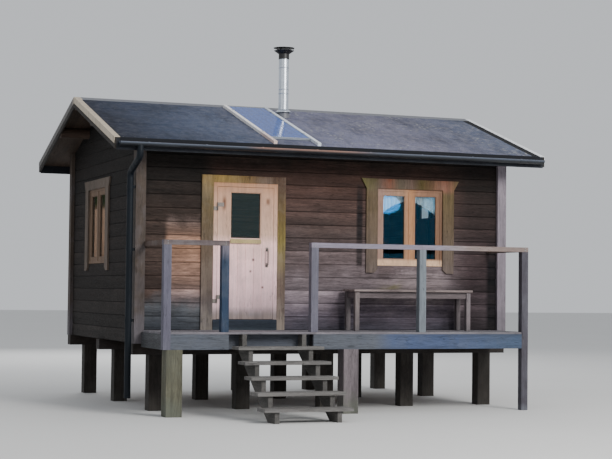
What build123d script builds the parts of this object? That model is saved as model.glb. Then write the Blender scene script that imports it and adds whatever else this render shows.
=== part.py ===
from build123d import *
import os
from math import ceil, cos, radians, sin, tan

os.makedirs("parts", exist_ok=True)

# Driving dimensions, millimetres. X runs along the front, Y from front to rear, Z up from the ground.
# Clearance between pieces that rest on or in each other
seat_clearance = 0.3
# Log walls
wall_length = 5660.0
wall_depth = 3900.0
log_height = 185.0
log_thickness = 90.0
log_bevel = 8.0
post_size = 140.0
tongue_width = 40.0
tongue_length = 24.0
tongue_clearance = 1.0
head_logs = 12
window_sill_logs = 6
# Ground frame and floor
pier_size = 200.0
pier_columns = 5
pier_inset = 330.0
bearer_width = 180.0
bearer_height = 150.0
joist_width = 45.0
joist_height = 200.0
joist_count = 9
floor_thickness = 28.0
# Roof
roof_pitch = 18.3
eave_height = 2553.0
eave_overhang = 450.0
verge_overhang = 415.0
roof_thickness = 45.0
roof_log_radius = 80.0
roof_log_seat = 62.0
roof_log_clearance = 1.0
bargeboard_thickness = 25.0
bargeboard_height = 150.0
flashing_thickness = 4.0
verge_cap_width = 80.0
verge_cap_drop = 45.0
ridge_cap_width = 150.0
fascia_thickness = 22.0
fascia_height = 115.0
gutter_radius = 58.0
gutter_wall = 4.0
gutter_drop = 12.0
gutter_lap = 60.0
gutter_count = 4
gutter_joint = 0.4
outlet_length = 20.0
downpipe_radius = 45.0
downpipe_wall = 4.0
downpipe_bend = 110.0
neck_pitch = 20.0
downpipe_gap = 30.0
downpipe_foot = 180.0
clamp_width = 40.0
# Chimney
flue_radius = 75.0
flue_wall = 4.0
flue_setback = 1368.0
flue_height = 945.0
flue_tail = 120.0
flue_clearance = 1.0
collar_radius = 100.0
collar_height = 110.0
collar_taper = 6.0
collar_gap = 15.0
cowl_radius = 150.0
cowl_height = 130.0
cowl_collar = 80.0
cowl_gap = 38.0
lid_radius = 158.0
lid_rise = 16.0
strap_width = 24.0
strap_count = 3
strap_start_angle = 90.0
# Solar panel on its rails
rail_spacing = 650.0
rail_width = 50.0
rail_height = 45.0
panel_x = -650.0
rail_bottom_gap = 12.0
rail_length = 2350.0
panel_start = 305.0
panel_length = 2000.0
panel_thickness = 32.0
panel_lift = 8.0
# Entrance door
door_x = -1247.0
door_opening = 940.0
threshold_height = 145.0
threshold_proud = 35.0
jamb_width = 54.0
frame_proud = 20.0
door_gap = 5.0
door_thickness = 45.0
stop_depth = 14.0
door_glass_width = 450.0
door_glass_height = 650.0
door_glass_top = 1910.0
door_board_pitch = 118.0
door_groove = 5.0
glass_thickness = 6.0
drip_height = 62.0
drip_proud = 22.0
handle_height = 1010.0
handle_length = 220.0
handle_standoff = 48.0
handle_radius = 9.0
hinge_radius = 8.0
hinge_length = 110.0
hinge_inset = 220.0
hinge_pin_radius = 5.0
hinge_running_clearance = 0.05
hinge_offset = 14.0
hinge_strap = 90.0
hinge_plate = 4.0
casing_thickness = 25.0
casing_left = 170.0
casing_right = 120.0
casing_top = 100.0
casing_clearance = 2.0
# Windows
window_x = 1280.0
gable_window_setback = 315.0
window_width = 1040.0
window_jamb = 36.0
window_mullion = 44.0
sash_member = 54.0
sash_depth = 45.0
sash_setback = 8.0
window_casing = 178.0
casing_tail = 105.0
tail_slant = 60.0
header_height = 138.0
header_flare = 78.0
# Deck and stair
riser = 182.5
going = 250.0
tread_count = 5
tread_thickness = 40.0
tread_length = 1190.0
tread_nosing = 30.0
stair_x = -1200.0
stringer_spacing = 838.0
stringer_width = 60.0
stringer_throat = 125.0
deck_left = -2730.0
deck_right = 2610.0
deck_depth = 1100.0
deck_board = 28.0
deck_beam_height = 200.0
deck_beam_width = 45.0
stair_gap_left = -1838.0
stair_gap_right = -647.0
deck_bays = 4
deck_header_setback = 150.0
deck_pier_size = 215.0
left_pier_x = -2572.0
middle_pier_x = -98.0
# Railing
rail_post = 100.0
handrail_height = 1195.0
handrail_depth = 65.0
handrail_width = 45.0
gate_post_left = -1892.0
gate_post_right = -635.0
# Bench
bench_x = 1130.0
bench_length = 1850.0
bench_depth = 430.0
bench_height = 580.0
bench_board = 32.0
bench_leg = 65.0
bench_apron = 90.0
bench_gap = 60.0
bench_overhang = 25.0

# Levels and faces that follow from the driving dimensions
deck_top = riser * (tread_count + 1)
wall_bottom = deck_top - log_height
sill_top = wall_bottom + log_height
threshold_top = sill_top + threshold_height
opening_top = wall_bottom + head_logs * log_height
window_bottom = wall_bottom + window_sill_logs * log_height
window_height = opening_top - window_bottom
bearer_bottom = wall_bottom - bearer_height
floor_top = wall_bottom + joist_height + floor_thickness
deck_under = deck_top - deck_board
deck_beam_bottom = deck_under - deck_beam_height
flight_run = tread_count * going + tread_nosing

# The whole part is centred front to rear over its own outline
front_face = (deck_depth + flight_run - wall_depth - eave_overhang) / 2
rear_face = front_face + wall_depth
front_inner = front_face + log_thickness
rear_inner = rear_face - log_thickness
middle_y = (front_face + rear_face) / 2
gable_window_y = middle_y + gable_window_setback
deck_edge = front_face - deck_depth
half_length = wall_length / 2
side_inner = half_length - post_size
side_face = side_inner + log_thickness
post_proud = post_size - log_thickness

# Roof lines
slope = tan(radians(roof_pitch))
roof_run = wall_depth / 2 + eave_overhang
eave_top = deck_top + eave_height
ridge_top = eave_top + roof_run * slope
roof_drop = roof_thickness / cos(radians(roof_pitch))
ridge_under = ridge_top - roof_drop
eave_edge = front_face - eave_overhang
half_roof = half_length + verge_overhang
boarding_end = half_roof - flashing_thickness - bargeboard_thickness
door_left = door_x - door_opening / 2
door_right = door_x + door_opening / 2


def roof_over(distance):
    """Height of the roof's top at a distance from the ridge line."""
    return ridge_top - distance * slope


def log_stack(plane, across, bottom, top):
    """Section of a wall of bevelled logs, stacked from bottom to top and centred at across."""
    rows = ceil((top - bottom - seat_clearance) / log_height)
    middles = [bottom + log_height / 2 + row * log_height for row in range(rows)]
    with BuildSketch(plane) as stack:
        with Locations(*[(across, middle) for middle in middles]):
            add(log_section.sketch)
    return stack.sketch


def rectangle_between(plane, low, high):
    """Rectangle on a plane between two corners."""
    with BuildSketch(plane) as sketch:
        with Locations(((low[0] + high[0]) / 2, (low[1] + high[1]) / 2)):
            Rectangle(abs(high[0] - low[0]), abs(high[1] - low[1]))
    return sketch.sketch


def beam_along_x(x_low, x_high, y_low, y_high, z_low, z_high, mode=Mode.ADD):
    """Straight timber that runs along X."""
    extrude(rectangle_between(Plane.YZ.offset(x_low), (y_low, z_low), (y_high, z_high)),
            amount=x_high - x_low, mode=mode)


def beam_along_y(x_low, x_high, y_low, y_high, z_low, z_high, mode=Mode.ADD):
    """Straight timber that runs along Y."""
    extrude(rectangle_between(Plane.XZ.offset(-y_high), (x_low, z_low), (x_high, z_high)),
            amount=y_high - y_low, mode=mode)


def upright(x_low, x_high, y_low, y_high, z_low, z_high, mode=Mode.ADD):
    """Standing timber."""
    extrude(rectangle_between(Plane.XY.offset(z_low), (x_low, y_low), (x_high, y_high)),
            amount=z_high - z_low, mode=mode)


def save(part, name):
    """Label a finished piece and write it to its STEP file."""
    part.label = name
    export_step(part, f"parts/{name}.step")


# Section of one squared log with bevelled edges
with BuildSketch() as log_section:
    Rectangle(log_thickness, log_height)
    chamfer(log_section.vertices(), log_bevel)

# Space above the roof's underside, which trims walls, posts and roof logs to the slope
with BuildPart() as above_roof:
    reach = roof_run + half_roof
    with BuildSketch(Plane.YZ.offset(-reach)) as above_profile:
        with BuildLine():
            Polyline(
                (middle_y, ridge_under),
                (middle_y + reach, ridge_under - reach * slope),
                (middle_y + reach, ridge_top + reach),
                (middle_y - reach, ridge_top + reach),
                (middle_y - reach, ridge_under - reach * slope),
                close=True,
            )
        make_face()
    extrude(amount=2 * reach)

# Round roof logs: the ridge log and one purlin half way down each slope
purlin_reach = (wall_depth / 2) / 2
seat_drop = roof_log_seat / cos(radians(roof_pitch))
roof_log_places = [
    (middle_y, ridge_under - seat_drop),
    (middle_y - purlin_reach, ridge_under - seat_drop - purlin_reach * slope),
    (middle_y + purlin_reach, ridge_under - seat_drop - purlin_reach * slope),
]

# Piers that carry the bearers, three rows of square timber down to the ground
pier_reach = half_length - pier_inset
pier_step = 2 * pier_reach / (pier_columns - 1)
bearer_rows = [front_face, middle_y - bearer_width / 2, rear_face - bearer_width]
with BuildPart() as cabin_piers:
    with BuildSketch() as pier_feet:
        for row in bearer_rows:
            with Locations((0, row + bearer_width / 2)):
                with GridLocations(pier_step, 1, pier_columns, 1):
                    Rectangle(pier_size, bearer_width)
    extrude(amount=bearer_bottom)
save(cabin_piers.part, "cabin_piers")

# Three bearers lengthwise: the outer two carry the long walls
with BuildPart() as floor_bearers:
    with BuildSketch(Plane.YZ.offset(-half_length)) as bearer_sections:
        for row in bearer_rows:
            with Locations((row + bearer_width / 2, bearer_bottom + bearer_height / 2)):
                Rectangle(bearer_width, bearer_height)
    extrude(amount=wall_length)
save(floor_bearers.part, "floor_bearers")

# Floor joists across the bearers, inside the walls
joist_step = (2 * side_inner - joist_width) / (joist_count - 1)
with BuildPart() as floor_joists:
    with BuildSketch(Plane.XZ.offset(-rear_inner)) as joist_sections:
        with Locations((0, wall_bottom + joist_height / 2)):
            with GridLocations(joist_step, 1, joist_count, 1):
                Rectangle(joist_width, joist_height)
    extrude(amount=rear_inner - front_inner)
save(floor_joists.part, "floor_joists")

with BuildPart() as cabin_floor:
    upright(-side_inner, side_inner, front_inner, rear_inner, floor_top - floor_thickness, floor_top)
save(cabin_floor.part, "cabin_floor")

# Corner posts, grooved for the tongues of the wall logs and cut to the roof's slope
with BuildPart() as corner_posts:
    post_x = half_length - post_size / 2
    post_middles = [front_inner - post_size / 2, rear_inner + post_size / 2]
    with BuildSketch(Plane.XY.offset(wall_bottom)) as post_sections:
        for side in (-1, 1):
            for post_y in post_middles:
                with Locations((side * post_x, post_y)):
                    Rectangle(post_size, post_size)
        for wall_middle in (front_face + log_thickness / 2, rear_face - log_thickness / 2):
            with Locations((0, wall_middle)):
                Rectangle(2 * (side_inner + tongue_length), tongue_width, mode=Mode.SUBTRACT)
        for side in (-1, 1):
            with Locations((side * (side_face + side_inner) / 2, middle_y)):
                Rectangle(tongue_width, rear_inner - front_inner + 2 * tongue_length, mode=Mode.SUBTRACT)
    extrude(amount=ridge_top - wall_bottom)
    add(above_roof.part, mode=Mode.SUBTRACT)
save(corner_posts.part, "corner_posts")

tongue = tongue_length - tongue_clearance
tongue_half = tongue_width / 2 - tongue_clearance
front_middle = front_face + log_thickness / 2
rear_middle = rear_face - log_thickness / 2

# Lowest log of the front wall, whole under the doorway
with BuildPart() as front_sill:
    extrude(log_stack(Plane.YZ.offset(-side_inner), front_middle, wall_bottom, sill_top),
            amount=2 * side_inner)
    beam_along_x(-side_inner - tongue, side_inner + tongue, front_middle - tongue_half,
                 front_middle + tongue_half, wall_bottom, sill_top)
save(front_sill.part, "front_sill")

# Front wall left of the doorway
with BuildPart() as front_wall_left:
    extrude(log_stack(Plane.YZ.offset(-side_inner), front_middle, sill_top, opening_top),
            amount=door_left + side_inner)
    beam_along_x(-side_inner - tongue, door_left, front_middle - tongue_half, front_middle + tongue_half,
                 sill_top, opening_top)
save(front_wall_left.part, "front_wall_left")

# Front wall right of the doorway, with the window opening
with BuildPart() as front_wall_right:
    extrude(log_stack(Plane.YZ.offset(door_right), front_middle, sill_top, opening_top),
            amount=side_inner - door_right)
    beam_along_x(door_right, side_inner + tongue, front_middle - tongue_half, front_middle + tongue_half,
                 sill_top, opening_top)
    beam_along_x(window_x - window_width / 2, window_x + window_width / 2, front_face - log_thickness,
                 front_inner + log_thickness, window_bottom, opening_top, mode=Mode.SUBTRACT)
save(front_wall_right.part, "front_wall_right")

# Logs over the doorway and the window, trimmed under the roof
with BuildPart() as front_wall_top:
    extrude(log_stack(Plane.YZ.offset(-side_inner), front_middle, opening_top, ridge_top),
            amount=2 * side_inner)
    beam_along_x(-side_inner - tongue, side_inner + tongue, front_middle - tongue_half,
                 front_middle + tongue_half, opening_top, ridge_top)
    add(above_roof.part, mode=Mode.SUBTRACT)
save(front_wall_top.part, "front_wall_top")

# Rear wall
with BuildPart() as rear_wall:
    extrude(log_stack(Plane.YZ.offset(-side_inner), rear_middle, wall_bottom, ridge_top),
            amount=2 * side_inner)
    beam_along_x(-side_inner - tongue, side_inner + tongue, rear_middle - tongue_half,
                 rear_middle + tongue_half, wall_bottom, ridge_top)
    add(above_roof.part, mode=Mode.SUBTRACT)
save(rear_wall.part, "rear_wall")

# Gable walls: logs between the corner posts up into the gable, round the window and the roof logs
for side, wall_name in ((-1, "left_wall"), (1, "right_wall")):
    wall_middle_x = side * (side_inner + side_face) / 2
    with BuildPart() as gable_wall:
        extrude(log_stack(Plane.XZ.offset(-rear_inner), wall_middle_x, wall_bottom, ridge_top),
                amount=rear_inner - front_inner)
        beam_along_y(wall_middle_x - tongue_half, wall_middle_x + tongue_half, front_inner - tongue,
                     rear_inner + tongue, wall_bottom, ridge_top)
        beam_along_y(wall_middle_x - log_thickness, wall_middle_x + log_thickness,
                     gable_window_y - window_width / 2, gable_window_y + window_width / 2, window_bottom,
                     opening_top, mode=Mode.SUBTRACT)
        with BuildSketch(Plane.YZ.offset(wall_middle_x - log_thickness)) as log_holes:
            with Locations(*roof_log_places):
                Circle(roof_log_radius + roof_log_clearance)
        extrude(amount=2 * log_thickness, mode=Mode.SUBTRACT)
        add(above_roof.part, mode=Mode.SUBTRACT)
    save(gable_wall.part, wall_name)

# Ridge log and purlins, flattened where the roof boards lie on them
with BuildPart() as roof_logs:
    with BuildSketch(Plane.YZ.offset(-boarding_end)) as log_circles:
        with Locations(*roof_log_places):
            Circle(roof_log_radius)
    extrude(amount=2 * boarding_end)
    add(above_roof.part, mode=Mode.SUBTRACT)
save(roof_logs.part, "roof_logs")

# Roof boarding with its felt, one slab a slope, meeting in a plumb joint at the ridge
flue_y = front_face + flue_setback
flue_x = panel_x + (rail_spacing + rail_width) / 2 + collar_gap + collar_radius
for direction, name in ((-1, "roof_front"), (1, "roof_rear")):
    with BuildPart() as roof_slab:
        with BuildSketch(Plane.YZ.offset(-boarding_end)) as slab_section:
            with BuildLine():
                Polyline(
                    (middle_y, ridge_top),
                    (middle_y, ridge_under),
                    (middle_y + direction * roof_run, roof_over(roof_run) - roof_drop),
                    (middle_y + direction * roof_run, roof_over(roof_run)),
                    close=True,
                )
            make_face()
        extrude(amount=2 * boarding_end)
        if direction < 0:
            with Locations((flue_x, flue_y, ridge_under)):
                Cylinder(flue_radius + flue_clearance, ridge_top, mode=Mode.SUBTRACT)
    save(roof_slab.part, name)

# Folded ridge capping
with BuildPart() as ridge_cap:
    cap_fall = ridge_cap_width * slope
    cap_rise = flashing_thickness / cos(radians(roof_pitch))
    with BuildSketch(Plane.YZ.offset(-boarding_end)) as ridge_cap_section:
        with BuildLine():
            Polyline(
                (middle_y, ridge_top),
                (middle_y + ridge_cap_width, ridge_top - cap_fall),
                (middle_y + ridge_cap_width, ridge_top - cap_fall + cap_rise),
                (middle_y, ridge_top + cap_rise),
                (middle_y - ridge_cap_width, ridge_top - cap_fall + cap_rise),
                (middle_y - ridge_cap_width, ridge_top - cap_fall),
                close=True,
            )
        make_face()
    extrude(amount=2 * boarding_end)
save(ridge_cap.part, "ridge_cap")


def chevron(plane, top_drop, depth):
    """Band that follows both slopes of the roof, from eave to eave."""
    with BuildSketch(plane) as band:
        with BuildLine():
            Polyline(
                (middle_y, ridge_top - top_drop),
                (middle_y + roof_run, roof_over(roof_run) - top_drop),
                (middle_y + roof_run, roof_over(roof_run) - top_drop - depth),
                (middle_y, ridge_top - top_drop - depth),
                (middle_y - roof_run, roof_over(roof_run) - top_drop - depth),
                (middle_y - roof_run, roof_over(roof_run) - top_drop),
                close=True,
            )
        make_face()
    return band.sketch


# Bargeboards against the ends of the roof boarding
with BuildPart() as bargeboards:
    for start in (-boarding_end - bargeboard_thickness, boarding_end):
        extrude(chevron(Plane.YZ.offset(start), 0, bargeboard_height), amount=bargeboard_thickness)
save(bargeboards.part, "bargeboards")

# Light metal capping folded over each bargeboard
with BuildPart() as verge_caps:
    for side in (-1, 1):
        inner = side * (half_roof - verge_cap_width)
        outer = side * half_roof
        skin = side * (half_roof - flashing_thickness)
        top_leg = chevron(Plane.YZ.offset(min(inner, outer)), -cap_rise, cap_rise)
        extrude(top_leg, amount=verge_cap_width)
        side_leg = chevron(Plane.YZ.offset(min(skin, outer)), -cap_rise, verge_cap_drop + cap_rise)
        extrude(side_leg, amount=flashing_thickness)
    beam_along_x(-boarding_end, boarding_end, middle_y - ridge_cap_width, middle_y + ridge_cap_width,
                 ridge_top - cap_fall, ridge_top + cap_rise, mode=Mode.SUBTRACT)
save(verge_caps.part, "verge_caps")

# Fascia boards under the eaves
fascia_top = roof_over(roof_run) - roof_drop
fascia_lift = fascia_thickness * slope
with BuildPart() as eave_fascias:
    for direction in (-1, 1):
        edge = middle_y + direction * roof_run
        back = edge - direction * fascia_thickness
        with BuildSketch(Plane.YZ.offset(-boarding_end)) as fascia_section:
            with BuildLine():
                Polyline(
                    (edge, fascia_top),
                    (back, fascia_top + fascia_lift),
                    (back, fascia_top - fascia_height),
                    (edge, fascia_top - fascia_height),
                    close=True,
                )
            make_face()
        extrude(amount=2 * boarding_end)
save(eave_fascias.part, "eave_fascias")

# Half-round gutter on the front fascia, in lengths, closed at its ends and holed over the downpipe
gutter_top = fascia_top - gutter_drop
gutter_y = eave_edge - gutter_radius
gutter_end = half_roof - gutter_lap
gutter_length = 2 * gutter_end / gutter_count
downpipe_x = -(half_length + downpipe_gap + downpipe_radius)
with BuildPart() as gutter:
    with BuildSketch(Plane.YZ.offset(-gutter_end)) as gutter_section:
        with Locations((gutter_y, gutter_top)):
            Circle(gutter_radius)
            Circle(gutter_radius - gutter_wall, mode=Mode.SUBTRACT)
        with Locations((gutter_y, gutter_top + gutter_radius)):
            Rectangle(2 * gutter_radius, 2 * gutter_radius, mode=Mode.SUBTRACT)
    extrude(amount=2 * gutter_end)
    for start in (-gutter_end, gutter_end - gutter_wall):
        with BuildSketch(Plane.YZ.offset(start)) as gutter_stop:
            with Locations((gutter_y, gutter_top)):
                Circle(gutter_radius)
            with Locations((gutter_y, gutter_top + gutter_radius)):
                Rectangle(2 * gutter_radius, 2 * gutter_radius, mode=Mode.SUBTRACT)
        extrude(amount=gutter_wall)
    with Locations((0, gutter_y, gutter_top)):
        with GridLocations(gutter_length, 1, gutter_count - 1, 1):
            Box(gutter_joint, 2 * gutter_radius, 2 * gutter_radius, mode=Mode.SUBTRACT)
    with Locations((downpipe_x, gutter_y, gutter_top - gutter_radius)):
        Cylinder(downpipe_radius - downpipe_wall, gutter_radius, mode=Mode.SUBTRACT)
save(gutter.part, "gutter")

# Downpipe from the gutter's underside, with its swan neck back to the wall and its clamps
pipe_y = front_face - post_proud / 2
pipe_top = gutter_top - gutter_radius / 2
neck_start = gutter_top - gutter_radius - outlet_length - downpipe_bend
neck_end = neck_start - (pipe_y - gutter_y) * tan(radians(neck_pitch))
with BuildPart() as downpipe:
    with BuildLine() as pipe_route:
        FilletPolyline(
            (downpipe_x, gutter_y, pipe_top),
            (downpipe_x, gutter_y, neck_start),
            (downpipe_x, pipe_y, neck_end),
            (downpipe_x, pipe_y, downpipe_foot),
            radius=downpipe_bend,
        )
    with BuildSketch(Plane.XY.offset(pipe_top)) as pipe_ring:
        with Locations((downpipe_x, gutter_y)):
            Circle(downpipe_radius)
            Circle(downpipe_radius - downpipe_wall, mode=Mode.SUBTRACT)
    sweep()
    with BuildSketch(Plane.YZ.offset(downpipe_x - downpipe_radius)) as gutter_room:
        with Locations((gutter_y, gutter_top)):
            Circle(gutter_radius + seat_clearance)
    extrude(amount=2 * downpipe_radius, mode=Mode.SUBTRACT)
    for level in (neck_end - 2 * downpipe_bend, (neck_end + deck_top) / 2, deck_top + downpipe_bend):
        with BuildSketch(Plane.XY.offset(level)) as clamp:
            with Locations((downpipe_x, pipe_y)):
                Circle(downpipe_radius + downpipe_wall)
            with Locations((downpipe_x + (downpipe_radius + downpipe_gap) / 2, pipe_y)):
                Rectangle(downpipe_radius + downpipe_gap, 2 * downpipe_wall)
            with Locations((downpipe_x, pipe_y)):
                Circle(downpipe_radius + seat_clearance, mode=Mode.SUBTRACT)
        extrude(amount=clamp_width)
save(downpipe.part, "downpipe")

# Steel flue through the front slope
flue_top = roof_over(middle_y - flue_y) + flue_height
flue_bottom = roof_over(middle_y - flue_y) - roof_drop - flue_tail
with BuildPart() as chimney_pipe:
    with BuildSketch(Plane.XY.offset(flue_bottom)) as flue_ring:
        with Locations((flue_x, flue_y)):
            Circle(flue_radius)
            Circle(flue_radius - flue_wall, mode=Mode.SUBTRACT)
    extrude(amount=flue_top - flue_bottom)
save(chimney_pipe.part, "chimney_pipe")

# Flashing collar that closes the roof round the flue
flue_roof = roof_over(middle_y - flue_y)
flue_plane = Plane(origin=(flue_x, flue_y, 0), x_dir=(1, 0, 0), z_dir=(0, -1, 0))
flue_axis = Axis((flue_x, flue_y, 0), (0, 0, 1))
with BuildPart() as chimney_collar:
    with BuildSketch(Plane.XY.offset(flue_roof - collar_radius * slope)) as collar_base:
        with Locations((flue_x, flue_y)):
            Circle(collar_radius)
            Circle(flue_radius + flue_clearance, mode=Mode.SUBTRACT)
    extrude(amount=collar_height, taper=collar_taper)
    with BuildSketch(Plane.YZ.offset(flue_x - collar_radius)) as collar_seat:
        with BuildLine():
            Polyline(
                (flue_y - collar_radius, flue_roof - collar_radius * slope),
                (flue_y + collar_radius, flue_roof + collar_radius * slope),
                (flue_y + collar_radius, flue_roof - collar_height),
                (flue_y - collar_radius, flue_roof - collar_height),
                close=True,
            )
        make_face()
    extrude(amount=2 * collar_radius, mode=Mode.SUBTRACT)
save(chimney_collar.part, "chimney_collar")

# Black cowl: a flared ring round the flue's mouth under a shallow lid on three straps
cowl_inner = flue_radius + seat_clearance
cowl_mouth = flue_top + cowl_height - cowl_collar
lid_base = cowl_mouth + cowl_gap
strap_foot = cowl_mouth - flue_wall
strap_head = lid_base + flue_wall / 2
with BuildPart() as chimney_cowl:
    with BuildSketch(flue_plane) as cowl_half:
        with BuildLine():
            Polyline(
                (cowl_inner, flue_top - cowl_collar),
                (cowl_inner + flue_wall, flue_top - cowl_collar),
                (cowl_inner + flue_wall, flue_top),
                (cowl_radius, cowl_mouth),
                (cowl_radius - flue_wall, cowl_mouth),
                (cowl_inner, flue_top + flue_wall / 2),
                close=True,
            )
        make_face()
        with BuildLine():
            Polyline(
                (0, lid_base),
                (lid_radius, lid_base),
                (lid_radius, lid_base + flue_wall),
                (0, lid_base + flue_wall + lid_rise),
                close=True,
            )
        make_face()
    revolve(axis=flue_axis)
    with BuildSketch(Plane.XY.offset(strap_foot)) as straps:
        with Locations((flue_x, flue_y)):
            with PolarLocations(cowl_radius - flue_wall, strap_count, strap_start_angle):
                Rectangle(flue_wall, strap_width)
    extrude(amount=strap_head - strap_foot)
save(chimney_cowl.part, "chimney_cowl")

# Frame along the front slope: x as the cabin, local y up the slope from the eave, local z off the roof
roof_plane = Plane(
    origin=(0, eave_edge, eave_top),
    x_dir=(1, 0, 0),
    z_dir=(0, -sin(radians(roof_pitch)), cos(radians(roof_pitch))),
)

# Two white rails up the slope and the framed panel between them
with BuildPart() as panel_rails:
    with BuildSketch(roof_plane) as rail_feet:
        with Locations((panel_x, rail_bottom_gap + rail_length / 2)):
            with GridLocations(rail_spacing, 1, 2, 1):
                Rectangle(rail_width, rail_length)
    extrude(amount=rail_height)
save(panel_rails.part, "panel_rails")

panel_width = rail_spacing - rail_width
with BuildPart() as solar_panel:
    with BuildSketch(roof_plane.offset(panel_lift)) as panel_outline:
        with Locations((panel_x, panel_start + panel_length / 2)):
            Rectangle(panel_width, panel_length)
    extrude(amount=panel_thickness)
save(solar_panel.part, "solar_panel")

# Door frame: jambs and head through the wall, with stops behind the leaf
frame_face = front_face - frame_proud
leaf_back = frame_face + door_thickness
stop_face = leaf_back + door_gap
with BuildPart() as door_frame:
    with BuildSketch(Plane.XZ.offset(-front_inner)) as frame_outline:
        with Locations((door_x, (threshold_top + opening_top) / 2)):
            Rectangle(door_opening, opening_top - threshold_top)
        with Locations((door_x, (threshold_top + opening_top - jamb_width) / 2)):
            Rectangle(door_opening - 2 * jamb_width, opening_top - jamb_width - threshold_top,
                      mode=Mode.SUBTRACT)
    extrude(amount=front_inner - frame_face)
    with BuildSketch(Plane.XZ.offset(-front_inner)) as stop_outline:
        with Locations((door_x, (threshold_top + opening_top - jamb_width) / 2)):
            Rectangle(door_opening - 2 * jamb_width, opening_top - jamb_width - threshold_top)
        with Locations((door_x, (threshold_top + opening_top - jamb_width - stop_depth) / 2)):
            Rectangle(door_opening - 2 * jamb_width - 2 * stop_depth,
                      opening_top - jamb_width - stop_depth - threshold_top, mode=Mode.SUBTRACT)
    extrude(amount=front_inner - stop_face)
save(door_frame.part, "door_frame")

# High threshold on the sill log, as wide as the frame
with BuildPart() as door_threshold:
    beam_along_x(door_left, door_right, front_face - threshold_proud, front_inner, sill_top, threshold_top)
    chamfer(door_threshold.edges().filter_by(Axis.X).group_by(Axis.Z)[-1].sort_by(Axis.Y)[0], 2 * log_bevel)
save(door_threshold.part, "door_threshold")

# Casings that cover the joint round the door frame, up the sides and over the head
with BuildPart() as door_casings:
    casing_crown = opening_top + casing_top
    with BuildSketch(Plane.XZ.offset(-front_face)) as casing_outline:
        add(rectangle_between(Plane.XY, (door_left - casing_left, deck_top), (door_left, casing_crown)))
        add(rectangle_between(Plane.XY, (door_right, deck_top), (door_right + casing_right, casing_crown)))
        add(rectangle_between(Plane.XY, (door_left, opening_top), (door_right, casing_crown)))
    extrude(amount=casing_thickness)
save(door_casings.part, "door_casings")

# Door leaf: framed, glazed above, with a drip board under the glass and grooved boards below
leaf_width = door_opening - 2 * jamb_width - 2 * door_gap
leaf_bottom = threshold_top + door_gap
leaf_top = opening_top - jamb_width - door_gap
leaf_left = door_x - leaf_width / 2
glass_top = deck_top + door_glass_top
glass_bottom = glass_top - door_glass_height
with BuildPart() as door_leaf:
    beam_along_x(leaf_left, leaf_left + leaf_width, frame_face, leaf_back, leaf_bottom, leaf_top)
    beam_along_x(door_x - door_glass_width / 2, door_x + door_glass_width / 2, frame_face, leaf_back,
                 glass_bottom, glass_top, mode=Mode.SUBTRACT)
    groove_top = glass_bottom - 2 * drip_height
    groove_bottom = leaf_bottom + 2 * drip_height
    groove_count = int((leaf_width - door_board_pitch) / door_board_pitch)
    groove_side = door_groove * 2 ** 0.5
    with BuildSketch(Plane.XY.offset(groove_bottom)) as board_grooves:
        with Locations((door_x, frame_face)):
            with GridLocations(door_board_pitch, 1, groove_count, 1):
                Rectangle(groove_side, groove_side, rotation=45)
    extrude(amount=groove_top - groove_bottom, mode=Mode.SUBTRACT)
    with BuildSketch(Plane.YZ.offset(door_x - door_glass_width / 2)) as drip_section:
        with BuildLine():
            Polyline(
                (frame_face, glass_bottom),
                (frame_face - drip_proud, glass_bottom - drip_height / 2),
                (frame_face - drip_proud, glass_bottom - drip_height),
                (frame_face, glass_bottom - drip_height),
                close=True,
            )
        make_face()
    extrude(amount=door_glass_width)
save(door_leaf.part, "door_leaf")

with BuildPart() as door_glass:
    pane_y = (frame_face + leaf_back) / 2
    beam_along_x(door_x - door_glass_width / 2, door_x + door_glass_width / 2, pane_y - glass_thickness / 2,
                 pane_y + glass_thickness / 2, glass_bottom, glass_top)
save(door_glass.part, "door_glass")

# Bent pull handle on the closing stile
handle_x = door_x + (door_glass_width / 2 + leaf_width / 2) / 2
handle_middle = deck_top + handle_height
with BuildPart() as door_handle:
    with BuildLine() as handle_path:
        FilletPolyline(
            (handle_x, frame_face, handle_middle - handle_length / 2),
            (handle_x, frame_face - handle_standoff, handle_middle - handle_length / 2),
            (handle_x, frame_face - handle_standoff, handle_middle + handle_length / 2),
            (handle_x, frame_face, handle_middle + handle_length / 2),
            radius=2 * handle_radius,
        )
    with BuildSketch(Plane.XZ.offset(-frame_face)) as handle_section:
        with Locations((handle_x, handle_middle - handle_length / 2)):
            Circle(handle_radius)
    sweep()
save(door_handle.part, "door_handle")

# Lift-off hinges: pintles on the left jamb, and straps on the leaf whose knuckles turn on their pins
hinge_x = leaf_left - door_gap / 2
hinge_y = frame_face - hinge_offset
hinge_levels = [leaf_bottom + hinge_inset, leaf_top - hinge_inset - hinge_length]
knuckle_length = hinge_length / 2
with BuildPart() as hinge_pintles:
    for level in hinge_levels:
        with BuildSketch(Plane.XY.offset(level)) as pintle_section:
            with Locations((hinge_x, hinge_y)):
                Circle(hinge_radius)
            add(rectangle_between(Plane.XY, (hinge_x - hinge_radius, hinge_y), (hinge_x, frame_face)))
            add(rectangle_between(Plane.XY, (door_left + casing_clearance, frame_face - hinge_plate),
                                  (hinge_x, frame_face)))
        extrude(amount=knuckle_length)
        with BuildSketch(Plane.XY.offset(level)) as pin_section:
            with Locations((hinge_x, hinge_y)):
                Circle(hinge_pin_radius)
        extrude(amount=hinge_length)
save(hinge_pintles.part, "hinge_pintles")

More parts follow.
